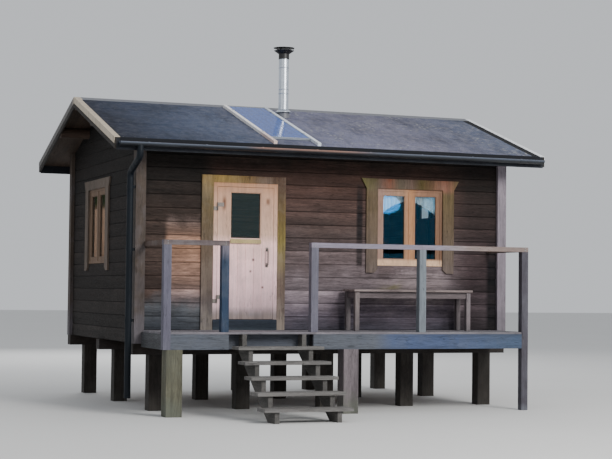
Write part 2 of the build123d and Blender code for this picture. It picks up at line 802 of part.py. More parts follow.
with BuildPart() as door_hinges:
    for level in hinge_levels:
        with BuildSketch(Plane.XY.offset(level + knuckle_length + seat_clearance)) as knuckle_section:
            with Locations((hinge_x, hinge_y)):
                Circle(hinge_radius)
            add(rectangle_between(Plane.XY, (hinge_x, hinge_y), (hinge_x + hinge_radius, frame_face)))
            add(rectangle_between(Plane.XY, (leaf_left, frame_face - hinge_plate),
                                  (leaf_left + hinge_strap, frame_face)))
            with Locations((hinge_x, hinge_y)):
                Circle(hinge_pin_radius + hinge_running_clearance, mode=Mode.SUBTRACT)
        extrude(amount=knuckle_length)
save(door_hinges.part, "door_hinges")

# Windows lie on a plane of their own: local x along the wall, local y up, local z outwards
front_window = Plane(origin=(window_x, front_face, 0), x_dir=(1, 0, 0), z_dir=(0, -1, 0))
left_window = Plane(origin=(-side_face, gable_window_y, 0), x_dir=(0, -1, 0), z_dir=(-1, 0, 0))
right_window = Plane(origin=(side_face, gable_window_y, 0), x_dir=(0, 1, 0), z_dir=(1, 0, 0))
light_width = (window_width - 2 * window_jamb - window_mullion) / 2
light_height = window_height - 2 * window_jamb
light_middle = (window_bottom + opening_top) / 2
light_reach = (light_width + window_mullion) / 2
sash_width = light_width - 2 * seat_clearance
sash_height = light_height - 2 * seat_clearance


def window_lights(plane, width, height):
    """One rectangle for each of the window's two lights."""
    with BuildSketch(plane) as lights:
        with Locations((-light_reach, light_middle), (light_reach, light_middle)):
            Rectangle(width, height)
    return lights.sketch


def window_frame(plane):
    """Outer frame and mullion, as deep as the wall."""
    inner = plane.offset(-log_thickness)
    outline = rectangle_between(inner, (-window_width / 2, window_bottom), (window_width / 2, opening_top))
    extrude(outline, amount=log_thickness)
    extrude(window_lights(inner, light_width, light_height), amount=log_thickness, mode=Mode.SUBTRACT)


def window_sashes(plane):
    """Two glazed casements set back a little in the frame."""
    inner = plane.offset(-sash_setback - sash_depth)
    extrude(window_lights(inner, sash_width, sash_height), amount=sash_depth)
    glass = window_lights(inner, sash_width - 2 * sash_member, sash_height - 2 * sash_member)
    extrude(glass, amount=sash_depth, mode=Mode.SUBTRACT)


def window_glass(plane):
    """A pane in each casement."""
    inner = plane.offset(-sash_setback - (sash_depth + glass_thickness) / 2)
    extrude(window_lights(inner, sash_width - 2 * sash_member, sash_height - 2 * sash_member),
            amount=glass_thickness)


def window_casing_set(plane):
    """Side casings with tapered tails under a header board with flared ends."""
    edge = window_width / 2
    outer = edge + window_casing
    with BuildSketch(plane) as casing_shape:
        with BuildLine():
            Polyline(
                (edge, opening_top),
                (edge, window_bottom - casing_tail / 2),
                (edge + tail_slant, window_bottom - casing_tail),
                (outer, window_bottom - casing_tail),
                (outer, opening_top),
                (outer + header_flare, opening_top + header_height),
                (-outer - header_flare, opening_top + header_height),
                (-outer, opening_top),
                (-outer, window_bottom - casing_tail),
                (-edge - tail_slant, window_bottom - casing_tail),
                (-edge, window_bottom - casing_tail / 2),
                (-edge, opening_top),
                close=True,
            )
        make_face()
    extrude(casing_shape.sketch, amount=casing_thickness)


window_planes = [front_window, left_window, right_window]
with BuildPart() as window_frames:
    for plane in window_planes:
        window_frame(plane)
save(window_frames.part, "window_frames")

with BuildPart() as sashes:
    for plane in window_planes:
        window_sashes(plane)
save(sashes.part, "window_sashes")

with BuildPart() as panes:
    for plane in window_planes:
        window_glass(plane)
save(panes.part, "window_glass")

with BuildPart() as casings:
    for plane in window_planes:
        window_casing_set(plane)
save(casings.part, "window_casings")

# Deck floor, notched round the corner posts of the railing and of the wall
post_back = deck_edge + rail_post
with BuildPart() as deck_floor:
    upright(deck_left, deck_right, deck_edge, front_face, deck_under, deck_top)
    upright(deck_left, deck_left + rail_post, deck_edge, post_back, deck_under, deck_top,
            mode=Mode.SUBTRACT)
    upright(deck_right - rail_post, deck_right, deck_edge, post_back, deck_under, deck_top,
            mode=Mode.SUBTRACT)
    upright(deck_left, -side_inner, front_face - post_proud, front_face, deck_under, deck_top,
            mode=Mode.SUBTRACT)
save(deck_floor.part, "deck_floor")

# Deck joists out to the edge, the middle ones between the ledger and the fascias
ledger_face = front_face - deck_beam_width
fascia_back = deck_edge + deck_beam_width
bay_step = (deck_right - deck_beam_width - stair_gap_right) / deck_bays
joist_starts = [stair_gap_left - deck_beam_width]
for bay in range(deck_bays):
    joist_starts.append(stair_gap_right + bay * bay_step)
with BuildPart() as deck_joists:
    beam_along_y(deck_left, deck_left + deck_beam_width, post_back, front_face - post_proud,
                 deck_beam_bottom, deck_under)
    beam_along_y(deck_right - deck_beam_width, deck_right, post_back, ledger_face, deck_beam_bottom,
                 deck_under)
    for start in joist_starts:
        beam_along_y(start, start + deck_beam_width, fascia_back, ledger_face, deck_beam_bottom, deck_under)
save(deck_joists.part, "deck_joists")

# Ledger on the sill log, and the header at the head of the stair
header_front = deck_edge + deck_header_setback
with BuildPart() as deck_beams:
    beam_along_x(-side_inner, deck_right, ledger_face, front_face, deck_beam_bottom, deck_under)
    beam_along_x(stair_gap_left, stair_gap_right, header_front, header_front + deck_beam_width,
                 deck_beam_bottom, deck_under)
save(deck_beams.part, "deck_beams")

# Fascia beams along the front edge, left out where the stair comes up
with BuildPart() as deck_fascias:
    beam_along_x(deck_left + rail_post, stair_gap_left, deck_edge, fascia_back, deck_beam_bottom,
                 deck_under)
    beam_along_x(stair_gap_right, deck_right - rail_post, deck_edge, fascia_back, deck_beam_bottom,
                 deck_under)
save(deck_fascias.part, "deck_fascias")

with BuildPart() as deck_piers:
    with BuildSketch() as deck_pier_feet:
        for pier_x in (left_pier_x, middle_pier_x):
            with Locations((pier_x, deck_edge + deck_pier_size / 2)):
                Rectangle(deck_pier_size, deck_pier_size)
    extrude(amount=deck_beam_bottom)
save(deck_piers.part, "deck_piers")

# Railing posts, housed at the top for the handrail: the right corner post runs down to the ground
rail_top = deck_top + handrail_height
rail_bottom = rail_top - handrail_depth
left_post_x = deck_left + rail_post / 2
right_post_x = deck_right - rail_post / 2
middle_post_x = (gate_post_right + right_post_x) / 2
with BuildPart() as rail_posts:
    for post_middle, foot in (
        (left_post_x, deck_beam_bottom),
        (gate_post_left, deck_top),
        (gate_post_right, deck_top),
        (middle_post_x, deck_top),
        (right_post_x, 0),
    ):
        upright(post_middle - rail_post / 2, post_middle + rail_post / 2, deck_edge, post_back, foot,
                rail_top)
    beam_along_x(deck_left, deck_right, deck_edge, deck_edge + handrail_width, rail_bottom, rail_top,
                 mode=Mode.SUBTRACT)
save(rail_posts.part, "rail_posts")

# Handrails: two lengths along the front, and one back to the wall at each end
with BuildPart() as handrails:
    beam_along_x(deck_left, gate_post_left + rail_post / 2, deck_edge, deck_edge + handrail_width,
                 rail_bottom, rail_top)
    beam_along_x(gate_post_right - rail_post / 2, deck_right, deck_edge, deck_edge + handrail_width,
                 rail_bottom, rail_top)
    beam_along_y(left_post_x - handrail_width / 2, left_post_x + handrail_width / 2, post_back, front_face,
                 rail_bottom, rail_top)
    upright(deck_left, -side_inner, front_face - post_proud, front_face, rail_bottom, rail_top,
            mode=Mode.SUBTRACT)
    beam_along_y(right_post_x - handrail_width / 2, right_post_x + handrail_width / 2, post_back,
                 front_face, rail_bottom, rail_top)
save(handrails.part, "handrails")

# Cut stringers: stepped on top for the treads, parallel to the pitch below, flat on the ground
pitch_slope = riser / going
throat_drop = stringer_throat * (1 + pitch_slope ** 2) ** 0.5
seat_level = deck_top - riser - tread_thickness
steps = [(header_front, deck_under), (deck_edge, deck_under)]
for step in range(tread_count):
    steps.append((deck_edge - step * going, seat_level - step * riser))
    steps.append((deck_edge - (step + 1) * going, seat_level - step * riser))
stringer_toe = deck_edge - tread_count * going
stringer_heel = deck_edge + (throat_drop - seat_level) / pitch_slope
with BuildPart() as stair_stringers:
    for stringer_x in (stair_x - stringer_spacing / 2, stair_x + stringer_spacing / 2):
        with BuildSketch(Plane.YZ.offset(stringer_x - stringer_width / 2)) as stringer_outline:
            with BuildLine():
                Polyline(
                    *steps,
                    (stringer_toe, 0),
                    (stringer_heel, 0),
                    (header_front, seat_level - throat_drop + deck_header_setback * pitch_slope),
                    close=True,
                )
            make_face()
        extrude(amount=stringer_width)
save(stair_stringers.part, "stair_stringers")

# Open treads on the stringers
with BuildPart() as stair_treads:
    for step in range(tread_count):
        tread_back = deck_edge - step * going
        tread_level = seat_level - step * riser
        beam_along_x(stair_x - tread_length / 2, stair_x + tread_length / 2,
                     tread_back - going - tread_nosing, tread_back, tread_level,
                     tread_level + tread_thickness)
save(stair_treads.part, "stair_treads")

# Bench against the front wall: a plain top on legs and aprons
bench_back = front_face - bench_gap
bench_front = bench_back - bench_depth
bench_under = deck_top + bench_height - bench_board
bench_middle = (bench_back + bench_front) / 2
leg_reach = bench_length / 2 - bench_overhang - bench_leg / 2
leg_span = bench_depth - 2 * bench_overhang - bench_leg
with BuildPart() as bench:
    with BuildSketch(Plane.XY.offset(deck_top)) as bench_feet:
        with Locations((bench_x, bench_middle)):
            with GridLocations(2 * leg_reach, leg_span, 2, 2):
                Rectangle(bench_leg, bench_leg)
    extrude(amount=bench_under - deck_top)
    with BuildSketch(Plane.XY.offset(bench_under - bench_apron)) as aprons:
        with Locations((bench_x, bench_middle)):
            Rectangle(2 * leg_reach + bench_board, leg_span + bench_board)
            Rectangle(2 * leg_reach - bench_board, leg_span - bench_board, mode=Mode.SUBTRACT)
    extrude(amount=bench_apron)
    upright(bench_x - bench_length / 2, bench_x + bench_length / 2, bench_front, bench_back, bench_under,
            bench_under + bench_board)
save(bench.part, "bench")
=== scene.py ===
from math import cos, pi, radians, sin, tan

import bmesh
import bpy
import numpy as np
from mathutils import Matrix, Vector


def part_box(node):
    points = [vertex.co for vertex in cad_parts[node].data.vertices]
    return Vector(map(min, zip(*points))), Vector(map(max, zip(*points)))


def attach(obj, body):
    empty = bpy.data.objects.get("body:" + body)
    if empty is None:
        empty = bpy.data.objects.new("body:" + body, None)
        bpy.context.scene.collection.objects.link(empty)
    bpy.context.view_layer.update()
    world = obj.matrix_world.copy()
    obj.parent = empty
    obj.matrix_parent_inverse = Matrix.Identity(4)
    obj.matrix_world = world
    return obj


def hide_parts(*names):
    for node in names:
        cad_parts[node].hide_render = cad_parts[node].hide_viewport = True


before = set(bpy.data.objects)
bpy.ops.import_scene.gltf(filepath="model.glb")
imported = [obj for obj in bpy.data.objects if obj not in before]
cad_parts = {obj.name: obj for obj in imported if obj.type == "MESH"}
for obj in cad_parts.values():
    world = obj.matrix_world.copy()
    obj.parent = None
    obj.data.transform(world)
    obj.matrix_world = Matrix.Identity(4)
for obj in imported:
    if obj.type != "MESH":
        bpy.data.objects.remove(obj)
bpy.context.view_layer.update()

# Piers and bearers. Square sawn timber, dark with age and splashed with earth near its foot.
# The piers stand on the ground in three rows and the bearers lie on them lengthwise.


def tone(colour):
    """Linear colour from screen values: each value over 255, on the screen's curve. A socket, or a colour that is
    linear already and has its fourth value, stays as it is."""
    if isinstance(colour, bpy.types.NodeSocket) or len(colour) == 4:
        return colour
    screen = np.array(colour) / 255
    linear = np.where(screen <= 0.04045, screen / 12.92, ((screen + 0.055) / 1.055) ** 2.4)
    return (*linear.tolist(), 1.0)


def put(kind, joins, tree=None, **settings):
    """Places a node with its settings in the tree of the first socket that it joins, and joins or sets its inputs."""
    tree = tree or next(value.id_data for value in joins.values() if isinstance(value, bpy.types.NodeSocket))
    node = tree.nodes.new("ShaderNode" + kind)
    for key, value in settings.items():
        setattr(node, key, value)
    for key, value in joins.items():
        if isinstance(value, bpy.types.NodeSocket):
            tree.links.new(value, node.inputs[key])
        else:
            node.inputs[key].default_value = value
    return node


def calc(operation, first, second=0.0, third=0.0):
    """One step of arithmetic between numbers or sockets."""
    return put("Math", {0: first, 1: second, 2: third}, operation=operation).outputs[0]


def times(*values):
    """Product of numbers or sockets."""
    product = values[0]
    for value in values[1:]:
        product = calc("MULTIPLY", product, value)
    return product


def fade(value, start, end, low=0.0, high=1.0):
    """Runs smoothly from low to high while value runs from start to end."""
    joins = {"Value": value, "From Min": start, "From Max": end, "To Min": low, "To Max": high}
    return put("MapRange", joins, interpolation_type="SMOOTHSTEP").outputs["Result"]


def vector(operation, first, *others):
    """One step of arithmetic between places."""
    return put("VectorMath", dict(enumerate((first, *others))), operation=operation).outputs[0]


def mix(share, first, second, kind="MIX"):
    """Mixes two colours by a share."""
    return put("Mix", {0: share, 6: tone(first), 7: tone(second)}, data_type="RGBA", blend_type=kind).outputs[2]


def shade_by(colour, share):
    """Colour made darker or lighter by a number or a socket."""
    if not isinstance(share, bpy.types.NodeSocket):
        share = (share, share, share, 1.0)
    return mix(1.0, colour, share, "MULTIPLY")


def noise(place, scale, detail=3.0, rough=0.55):
    """Soft random value between 0 and 1 at each place."""
    return put("TexNoise", {"Vector": place, "Scale": scale, "Detail": detail, "Roughness": rough}).outputs["Fac"]


def cells(place, scale):
    """Random cells: the distance to the middle of the nearest one, and its own colour."""
    return put("TexVoronoi", {"Vector": place, "Scale": scale}, feature="F1").outputs


def own_value(spots):
    """Random value that each cell has as its own."""
    return put("SeparateColor", {0: spots["Color"]}).outputs[0]


def stretched(place, scale, location=(0, 0, 0)):
    """Place drawn out or moved by a Mapping node."""
    return put("Mapping", {"Vector": place, "Location": location, "Scale": scale}).outputs[0]


def axes(place):
    """The three coordinates of a place."""
    return put("SeparateXYZ", {0: place}).outputs


def within(where, **spans):
    """Share that is full inside a box and gone outside it. Each span is its low side, high side and softness."""
    share = 1.0
    for axis, (low, high, soft) in spans.items():
        share = times(share, fade(where[axis], low - soft, low + soft), fade(where[axis], high + soft, high - soft))
    return share


def shaded(where, shade):
    """Colour of a finish. It is one colour, or an axis with stops, each a place and its colour, between which the
    colour runs or changes, or two such shades that change over between two places on an axis."""
    if not isinstance(shade[0], str):
        return tone(shade)
    if len(shade) == 5:
        axis, start, end, first, second = shade
        return mix(fade(where[axis], start, end), shaded(where, first), shaded(where, second))
    axis, stops, *kind = shade
    start, end = stops[0][0], stops[-1][0]
    span = put("MapRange", {"Value": where[axis], "From Min": start, "From Max": end}).outputs["Result"]
    node = put("ValToRGB", {"Fac": span})
    ramp = node.color_ramp
    ramp.interpolation = kind[0] if kind else "LINEAR"
    ramp.elements[0].position, ramp.elements[0].color = 0.0, tone(stops[0][1:])
    ramp.elements[1].position, ramp.elements[1].color = 1.0, tone(stops[-1][1:])
    for at, *colour in stops[1:-1]:
        ramp.elements.new((at - start) / (end - start)).color = tone(colour)
    return node.outputs["Color"]


def new_group(name, **takes):
    """Starts a node group with named inputs, and gives its tree and its inputs."""
    tree = bpy.data.node_groups.new(name, "ShaderNodeTree")
    for label, value in takes.items():
        kind = "NodeSocketVector" if isinstance(value, tuple) else "NodeSocketFloat"
        tree.interface.new_socket(label, in_out="INPUT", socket_type=kind).default_value = value
    return tree, tree.nodes.new("NodeGroupInput").outputs


def give(tree, **values):
    """Ends a node group with the values that it puts out."""
    for label in values:
        tree.interface.new_socket(label, in_out="OUTPUT", socket_type="NodeSocketFloat")
    ends = tree.nodes.new("NodeGroupOutput").inputs
    for label, value in values.items():
        tree.links.new(value, ends[label])


# Grain: streaks and fine fibres along the timber, the waving figure of the year rings, round knots and cracks
# from drying, which are the level lines of a long soft noise.
grain, take = new_group("timber grain", Place=(0, 0, 0), Stretch=(0.07, 1, 1))
drawn = vector("MULTIPLY", take["Place"], take["Stretch"])
eased = vector("MULTIPLY", take["Place"], vector("MULTIPLY_ADD", take["Stretch"], (0.75,) * 3, (0.25,) * 3))
knots = cells(eased, 3.6)
level = calc("ABSOLUTE", calc("SUBTRACT", noise(drawn, 13.0, 3.0, 0.6), 0.5))
both = calc("MULTIPLY_ADD", noise(drawn, 7.0), 0.55, times(noise(drawn, 34.0, 5.0, 0.65), 0.45))
give(grain, Streaks=fade(both, 0.36, 0.64), Fibres=noise(drawn, 190.0, 4.0, 0.7),
     Figure=calc("MULTIPLY_ADD", calc("SINE", times(noise(drawn, 4.0, 2.0, 0.5), 170.0)), 0.5, 0.5),
     Knots=times(fade(knots["Distance"], 0.085, 0.035), fade(own_value(knots), 0.5, 0.52)),
     Cracks=times(fade(level, 0.011, 0.003), fade(noise(take["Place"], 2.2, 2.0), 0.46, 0.58)))

# Ageing: a mask that is full at a height and gone a reach above it, with a ragged edge, and soft blotches.
ageing, take = new_group("ageing", Place=(0, 0, 0), Foot=0.0, Reach=0.5)
rise = calc("DIVIDE", calc("SUBTRACT", axes(take["Place"])["Z"], take["Foot"]), take["Reach"])
ragged = calc("MULTIPLY_ADD", noise(take["Place"], 4.5, 5.0, 0.65), 1.6, -0.8)
give(ageing, Low=fade(calc("ADD", rise, ragged), 1.0, 0.0),
     Blotches=fade(noise(take["Place"], 2.6, 6.0, 0.7), 0.42, 0.62))


def group(shared, place, **values):
    """Places a shared effect in a material."""
    node = put("Group", {}, place.id_data, node_tree=shared)
    place.id_data.links.new(place, node.inputs["Place"])
    for key, value in values.items():
        node.inputs[key].default_value = value
    return node.outputs


def begin(name):
    """Starts a material, and gives it with the place of each point on the object."""
    material = bpy.data.materials.new(name)
    material.use_nodes = True
    material.node_tree.nodes.clear()
    return material, put("TexCoord", {}, material.node_tree).outputs["Object"]


def close(colour, roughness, height=None, deep=0.0015, strength=0.5, **plain):
    """Ends a material with its shader. Height gives the bump, deep metres from lowest to highest."""
    joins = {"Base Color": colour, "Roughness": roughness}
    joins.update({key.replace("_", " "): value for key, value in plain.items()})
    if height is not None:
        joins["Normal"] = put("Bump", {"Height": height, "Distance": deep, "Strength": strength}).outputs["Normal"]
    put("OutputMaterial", {"Surface": put("BsdfPrincipled", joins).outputs[0]}).is_active_output = True


ALONG_X, ALONG_Y, ALONG_Z = (0.07, 1, 1), (1, 0.07, 1), (1, 1, 0.07)


def timber(name, shade, stretch, contrast=0.28, aged=None, foot=0.0, reach=0.6, blotch=0.35, knot=0.5, crack=0.6,
           deep=0.0012, rough=(0.55, 0.85), spots=()):
    """Material of a timber: its shade made darker and lighter by streaks, figure and fibres, with knots, cracks,
    board by board variation, spots of other colours, and an aged colour that rises from the foot and lies in
    blotches."""
    material, place = begin(name)
    where = axes(place)
    board = put("Attribute", {}, place.id_data, attribute_name="board", attribute_type="GEOMETRY").outputs["Fac"]
    moved = vector("ADD", place, times(board, 5.0))
    wood = group(grain, moved, Stretch=stretch)
    colour = shaded(where, shade)
    for spans, other in spots:
        colour = mix(within(where, **spans), colour, other)
    lines = calc("MULTIPLY_ADD", wood["Figure"], 0.25, times(wood["Streaks"], 0.75))
    colour = shade_by(colour, fade(lines, 0.0, 1.0, 1.0 - contrast, 1.0 + contrast))
    colour = shade_by(colour, fade(wood["Fibres"], 0.38, 0.6, 1.0 - 0.8 * contrast, 1.04))
    colour = shade_by(colour, fade(board, -1.0, 1.0, 0.84, 1.18))
    if aged is not None:
        worn = group(ageing, place, Foot=foot, Reach=reach)
        share = calc("MAXIMUM", times(worn["Blotches"], blotch), times(worn["Low"], 0.8))
        colour = mix(share, colour, shade_by(aged, fade(lines, 0.0, 1.0, 0.75, 1.15)))
    colour = mix(times(wood["Knots"], knot), colour, shade_by(colour, 0.35))
    colour = mix(times(wood["Cracks"], crack), colour, shade_by(colour, 0.25))
    surface = calc("SUBTRACT", calc("MULTIPLY_ADD", wood["Streaks"], 0.4, wood["Fibres"]),
                   times(wood["Cracks"], 2.0 * crack))
    close(colour, fade(wood["Fibres"], 0.3, 0.7, rough[1], rough[0]), surface, deep, Specular_IOR_Level=0.25)
    return material


def dress(material, *names):
    """Gives CAD nodes their material."""
    for name in names:
        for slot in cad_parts[name].material_slots:
            slot.material = material


deck_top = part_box("deck_floor")[1].z
dress(timber("old_pier_timber", (42, 37, 34), ALONG_Z, 0.35, (62, 59, 55), 0.0, 0.35, deep=0.0022), "cabin_piers")
dress(timber("old_bearer_timber", (40, 34, 31), ALONG_X, 0.35, (54, 50, 49), 0.7, 0.2, deep=0.0022),
      "floor_bearers")
dress(timber("old_joist_timber", (74, 62, 52), ALONG_Y), "floor_joists")

# Cabin floor. Pine boards 28 mm thick and about 120 mm wide, rounded at their edges. They are laid lengthwise over
# the joists, edge to edge, and keep the colour of indoor timber.


def placed(name, data):
    """Object of a mesh, a lamp or a camera, put in the scene at the origin."""
    thing = bpy.data.objects.new(name, data)
    bpy.context.scene.collection.objects.link(thing)
    return thing


def mesh_piece(name, points, faces, smooth=False, closed=True):
    """Mesh object at the origin from an array of points and a list of faces. A closed one is turned outwards."""
    mesh = bpy.data.meshes.new(name)
    mesh.from_pydata(points.reshape(-1, 3).tolist(), [], faces)
    if closed:
        shell = bmesh.new()
        shell.from_mesh(mesh)
        bmesh.ops.recalc_face_normals(shell, faces=shell.faces)
        shell.to_mesh(mesh)
        shell.free()
    if smooth:
        mesh.polygons.foreach_set("use_smooth", np.ones(len(mesh.polygons), bool))
    return placed(name, mesh)


def grid_faces(rows, columns, round_rows=False, round_columns=False):
    """Quads of a grid of points, closed round either way if asked."""
    i = np.arange(rows if round_rows else rows - 1)[:, None]
    j = np.arange(columns if round_columns else columns - 1)
    ahead, beside = (i + 1) % rows, (j + 1) % columns
    quads = np.stack([i * columns + j, i * columns + beside, ahead * columns + beside, ahead * columns + j], -1)
    return quads.reshape(-1, 4)


def many(faces, count, size):
    """The faces of one item, repeated for each of count items of size points."""
    faces = np.atleast_2d(faces)
    return (faces + size * np.arange(count)[:, None, None]).reshape(-1, faces.shape[1]).tolist()


def swept(name, points, smooth=False):
    """One mesh of items that are each a closed section carried along a path, with a cap at both ends. points
    holds, for each item and each place on its path, the points round the section."""
    count, steps, around = points.shape[:3]
    size, cap = steps * around, np.arange(around)
    faces = many(grid_faces(steps, around, round_columns=True), count, size)
    faces += many(cap[::-1], count, size) + many(size - around + cap, count, size)
    return mesh_piece(name, points, faces, smooth)


chance = np.random.RandomState(7)


def boards(name, boxes, along, edge=0.003, shape=None):
    """Straight boards in one mesh, each given by its low and its high corner. The section is a rectangle with cut
    corners, carried from one end to the other, and drawn in by the same cut at both ends. shape may bend the
    points afterwards. Each board keeps a random number for its material."""
    low, high = np.array(boxes, float).swapaxes(0, 1)
    count, across, up = len(low), (along + 1) % 3, (along + 2) % 3
    middle, half = (low + high) / 2, (high - low) / 2
    side = np.array([-1, 1, 1, 1, 1, -1, -1, -1])
    top = np.array([-1, -1, -1, 1, 1, 1, 1, -1])
    cut_side = np.array([1, 1, 0, 0, 1, 1, 0, 0])
    shrink = np.array([edge, 0, 0, edge])[:, None]
    points = np.empty((count, 4, 8, 3))
    reach = half[:, along, None, None] - np.array([0, edge, edge, 0])[:, None]
    wide = half[:, across, None, None] - shrink - edge * cut_side
    tall = half[:, up, None, None] - shrink - edge * (1 - cut_side)
    points[..., along] = middle[:, along, None, None] + np.array([-1, -1, 1, 1])[:, None] * reach
    points[..., across] = middle[:, across, None, None] + side * wide
    points[..., up] = middle[:, up, None, None] + top * tall
    if shape is not None:
        points = shape(points)
    piece = swept(name, points)
    own = piece.data.attributes.new("board", "FLOAT", "POINT")
    own.data.foreach_set("value", np.repeat(chance.uniform(-1, 1, count), 4 * 8).astype(np.float32))
    return piece


def add(piece, material, body="cabin"):
    """Gives a new piece its material and its body."""
    piece.data.materials.append(material)
    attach(piece, body)
    return piece


indoor_pine = (150, 108, 72)
low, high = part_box("cabin_floor")
board_width, half_joint = 0.12, 0.0003
rows = np.linspace(low.y, high.y, int(round((high.y - low.y) / board_width)) + 1)
floor_wood = timber("floor_pine", indoor_pine, ALONG_X, 0.22, knot=0.6, crack=0.2, deep=0.0004, rough=(0.35, 0.55))
boxes = [((low.x, near + half_joint, low.z), (high.x, far - half_joint, high.z)) for near, far in zip(rows, rows[1:])]
floor = add(boards("floor_boards", boxes, 0, 0.002), floor_wood)
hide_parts("cabin_floor")

# Log walls. Squared logs with bevelled edges, stained dark brown long ago. The stain has worn to a mauve grey on
# the faces, most of all low down where snow and rain reach, and stays dark in the joints. The walls darken towards
# the eave and the verges, which is painted shade, each log is lighter along its top as painted light, and the left
# gable is painted darker as shade.
wall_foot, log_height = 0.91, 0.185
courses, take = new_group("log courses", Place=(0, 0, 0), Foot=wall_foot, Course=log_height)
row = calc("DIVIDE", calc("SUBTRACT", axes(take["Place"])["Z"], take["Foot"]), take["Course"])
part = calc("FRACT", row)
off = calc("ABSOLUTE", calc("SUBTRACT", part, 0.5))
bent = calc("MULTIPLY_ADD", noise(take["Place"], 1.6, 4.0, 0.6), 0.5, -0.25)
middle = calc("ABSOLUTE", calc("SUBTRACT", calc("ADD", part, bent), 0.5))
give(courses, Tone=put("TexWhiteNoise", {"W": calc("FLOOR", row)}, noise_dimensions="1D").outputs["Value"],
     Joint=fade(off, 0.43, 0.49), Crown=fade(part, 0.05, 0.95),
     Arris=times(fade(part, 0.84, 0.9), fade(part, 0.955, 0.93)),
     Split=times(fade(middle, 0.016, 0.005), fade(noise(take["Place"], 1.1, 2.0), 0.5, 0.56)))


def log_wall(name, stretch, shade, indoors, spots=()):
    """Material of a log wall. indoors names the axis and the two places between which outside turns to inside."""
    material, place = begin(name)
    course = group(courses, place)
    moved = vector("ADD", place, times(course["Tone"], 9.0))
    wood = group(grain, moved, Stretch=stretch)
    worn = group(ageing, moved, Foot=0.0, Reach=0.1)
    where = axes(place)
    ragged = calc("MULTIPLY_ADD", noise(place, 2.4, 5.0, 0.7), 0.5, calc("ADD", where["Z"], -0.25))
    uneven = {"X": where["X"], "Y": where["Y"], "Z": ragged}
    colour = shaded(uneven, shade)
    for spans, other in spots:
        inside = times(within(uneven, **spans), fade(wood["Streaks"], 0.0, 1.0, 0.65, 1.0))
        colour = mix(inside, colour, shaded(where, other))
    colour = shade_by(colour, fade(course["Tone"], 0.0, 1.0, 0.72, 1.22))
    lines = calc("MULTIPLY_ADD", wood["Figure"], 0.2, times(wood["Streaks"], 0.8))
    colour = shade_by(colour, fade(lines, 0.0, 1.0, 0.68, 1.3))
    colour = shade_by(colour, fade(wood["Fibres"], 0.36, 0.6, 0.72, 1.06))
    # The top of each log is made lighter and its foot darker: painted light from above.
    colour = shade_by(colour, fade(course["Crown"], 0.0, 1.0, 0.84, 1.12))
    grey = times(worn["Blotches"], fade(course["Tone"], 0.0, 1.0, 0.15, 0.45))
    colour = mix(grey, colour, shade_by(colour, 1.45))
    # Lighter blotches along each log's upper arris: a painted highlight.
    colour = mix(times(course["Arris"], worn["Blotches"], 0.4), colour, shade_by(colour, 1.8))
    colour = mix(times(wood["Knots"], 0.7), colour, shade_by(colour, 0.3))
    pine = shade_by(indoor_pine, fade(lines, 0.0, 1.0, 0.8, 1.2))
    pine = mix(times(wood["Knots"], 0.6), pine, shade_by(pine, 0.4))
    colour = mix(fade(where[indoors[0]], indoors[1], indoors[2]), colour, pine)
    split = calc("MAXIMUM", times(wood["Cracks"], 0.7), course["Split"])
    colour = mix(times(split, 0.75), colour, shade_by(colour, 0.22))
    colour = mix(times(course["Joint"], 0.45), colour, shade_by(colour, 0.3))
    surface = calc("MULTIPLY_ADD", wood["Streaks"], 0.5, calc("SUBTRACT", wood["Fibres"], times(split, 2.0)))
    close(colour, fade(wood["Fibres"], 0.3, 0.7, 0.9, 0.65), surface, 0.0022, 0.6, Specular_IOR_Level=0.2)
    return material


front_face, rear_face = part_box("front_sill")[0].y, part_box("rear_wall")[1].y
side_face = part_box("right_wall")[1].x
# Shades of the front wall by height, its left, middle and right parts each with its own stain. Their darkest stops at
# the top are painted shade under the eave, as on the other walls.
left_part = ("Z", [(1.0, 70, 76, 86), (1.35, 72, 74, 78), (1.6, 66, 53, 48), (2.6, 55, 44, 39),
                   (3.1, 30, 24, 21), (3.5, 20, 17, 15)])
middle_part = ("Z", [(0.95, 72, 73, 86), (1.3, 91, 83, 93), (1.5, 117, 106, 113), (1.75, 124, 112, 116),
                     (2.0, 92, 80, 81), (2.5, 66, 54, 51), (2.9, 74, 56, 51), (3.2, 66, 46, 39),
                     (3.5, 35, 27, 23)])
right_part = ("Z", [(1.0, 66, 58, 62), (1.9, 56, 45, 47), (2.6, 46, 36, 35), (3.2, 35, 27, 24),
                    (3.5, 20, 15, 14)])
front_shade = ("X", -1.9, -1.6, left_part, ("X", 1.7, 2.3, middle_part, right_part))
bleached = ("Z", [(1.45, 121, 110, 114), (1.75, 149, 119, 106), (2.25, 153, 115, 92),
                  (2.6, 109, 93, 88)])
# Spots on the front wall: a bleached patch, a painted shadow beside the right corner post, a lighter patch under the
# window that is painted light against the handrail's shade, an olive stain, and a painted shadow beside the window's
# left casing.
front_stains_and_painted_light = [({"X": (-2.38, -1.87, 0.04), "Z": (1.47, 2.6, 0.12)}, bleached),
               ({"X": (2.54, 2.8, 0.04), "Z": (0.9, 2.3, 0.2)}, (3, 4, 8)),
               ({"X": (0.75, 1.85, 0.15), "Z": (1.48, 1.86, 0.08)}, (146, 132, 134)),
               ({"X": (0.82, 1.12, 0.1), "Z": (1.62, 1.76, 0.06)}, (134, 126, 100)),
               ({"X": (0.44, 0.53, 0.02), "Z": (1.95, 3.1, 0.1)}, (24, 20, 22))]
rear_shade = ("Z", [(0.95, 84, 84, 88), (1.6, 84, 76, 74), (2.6, 72, 62, 58), (3.5, 36, 30, 28)])
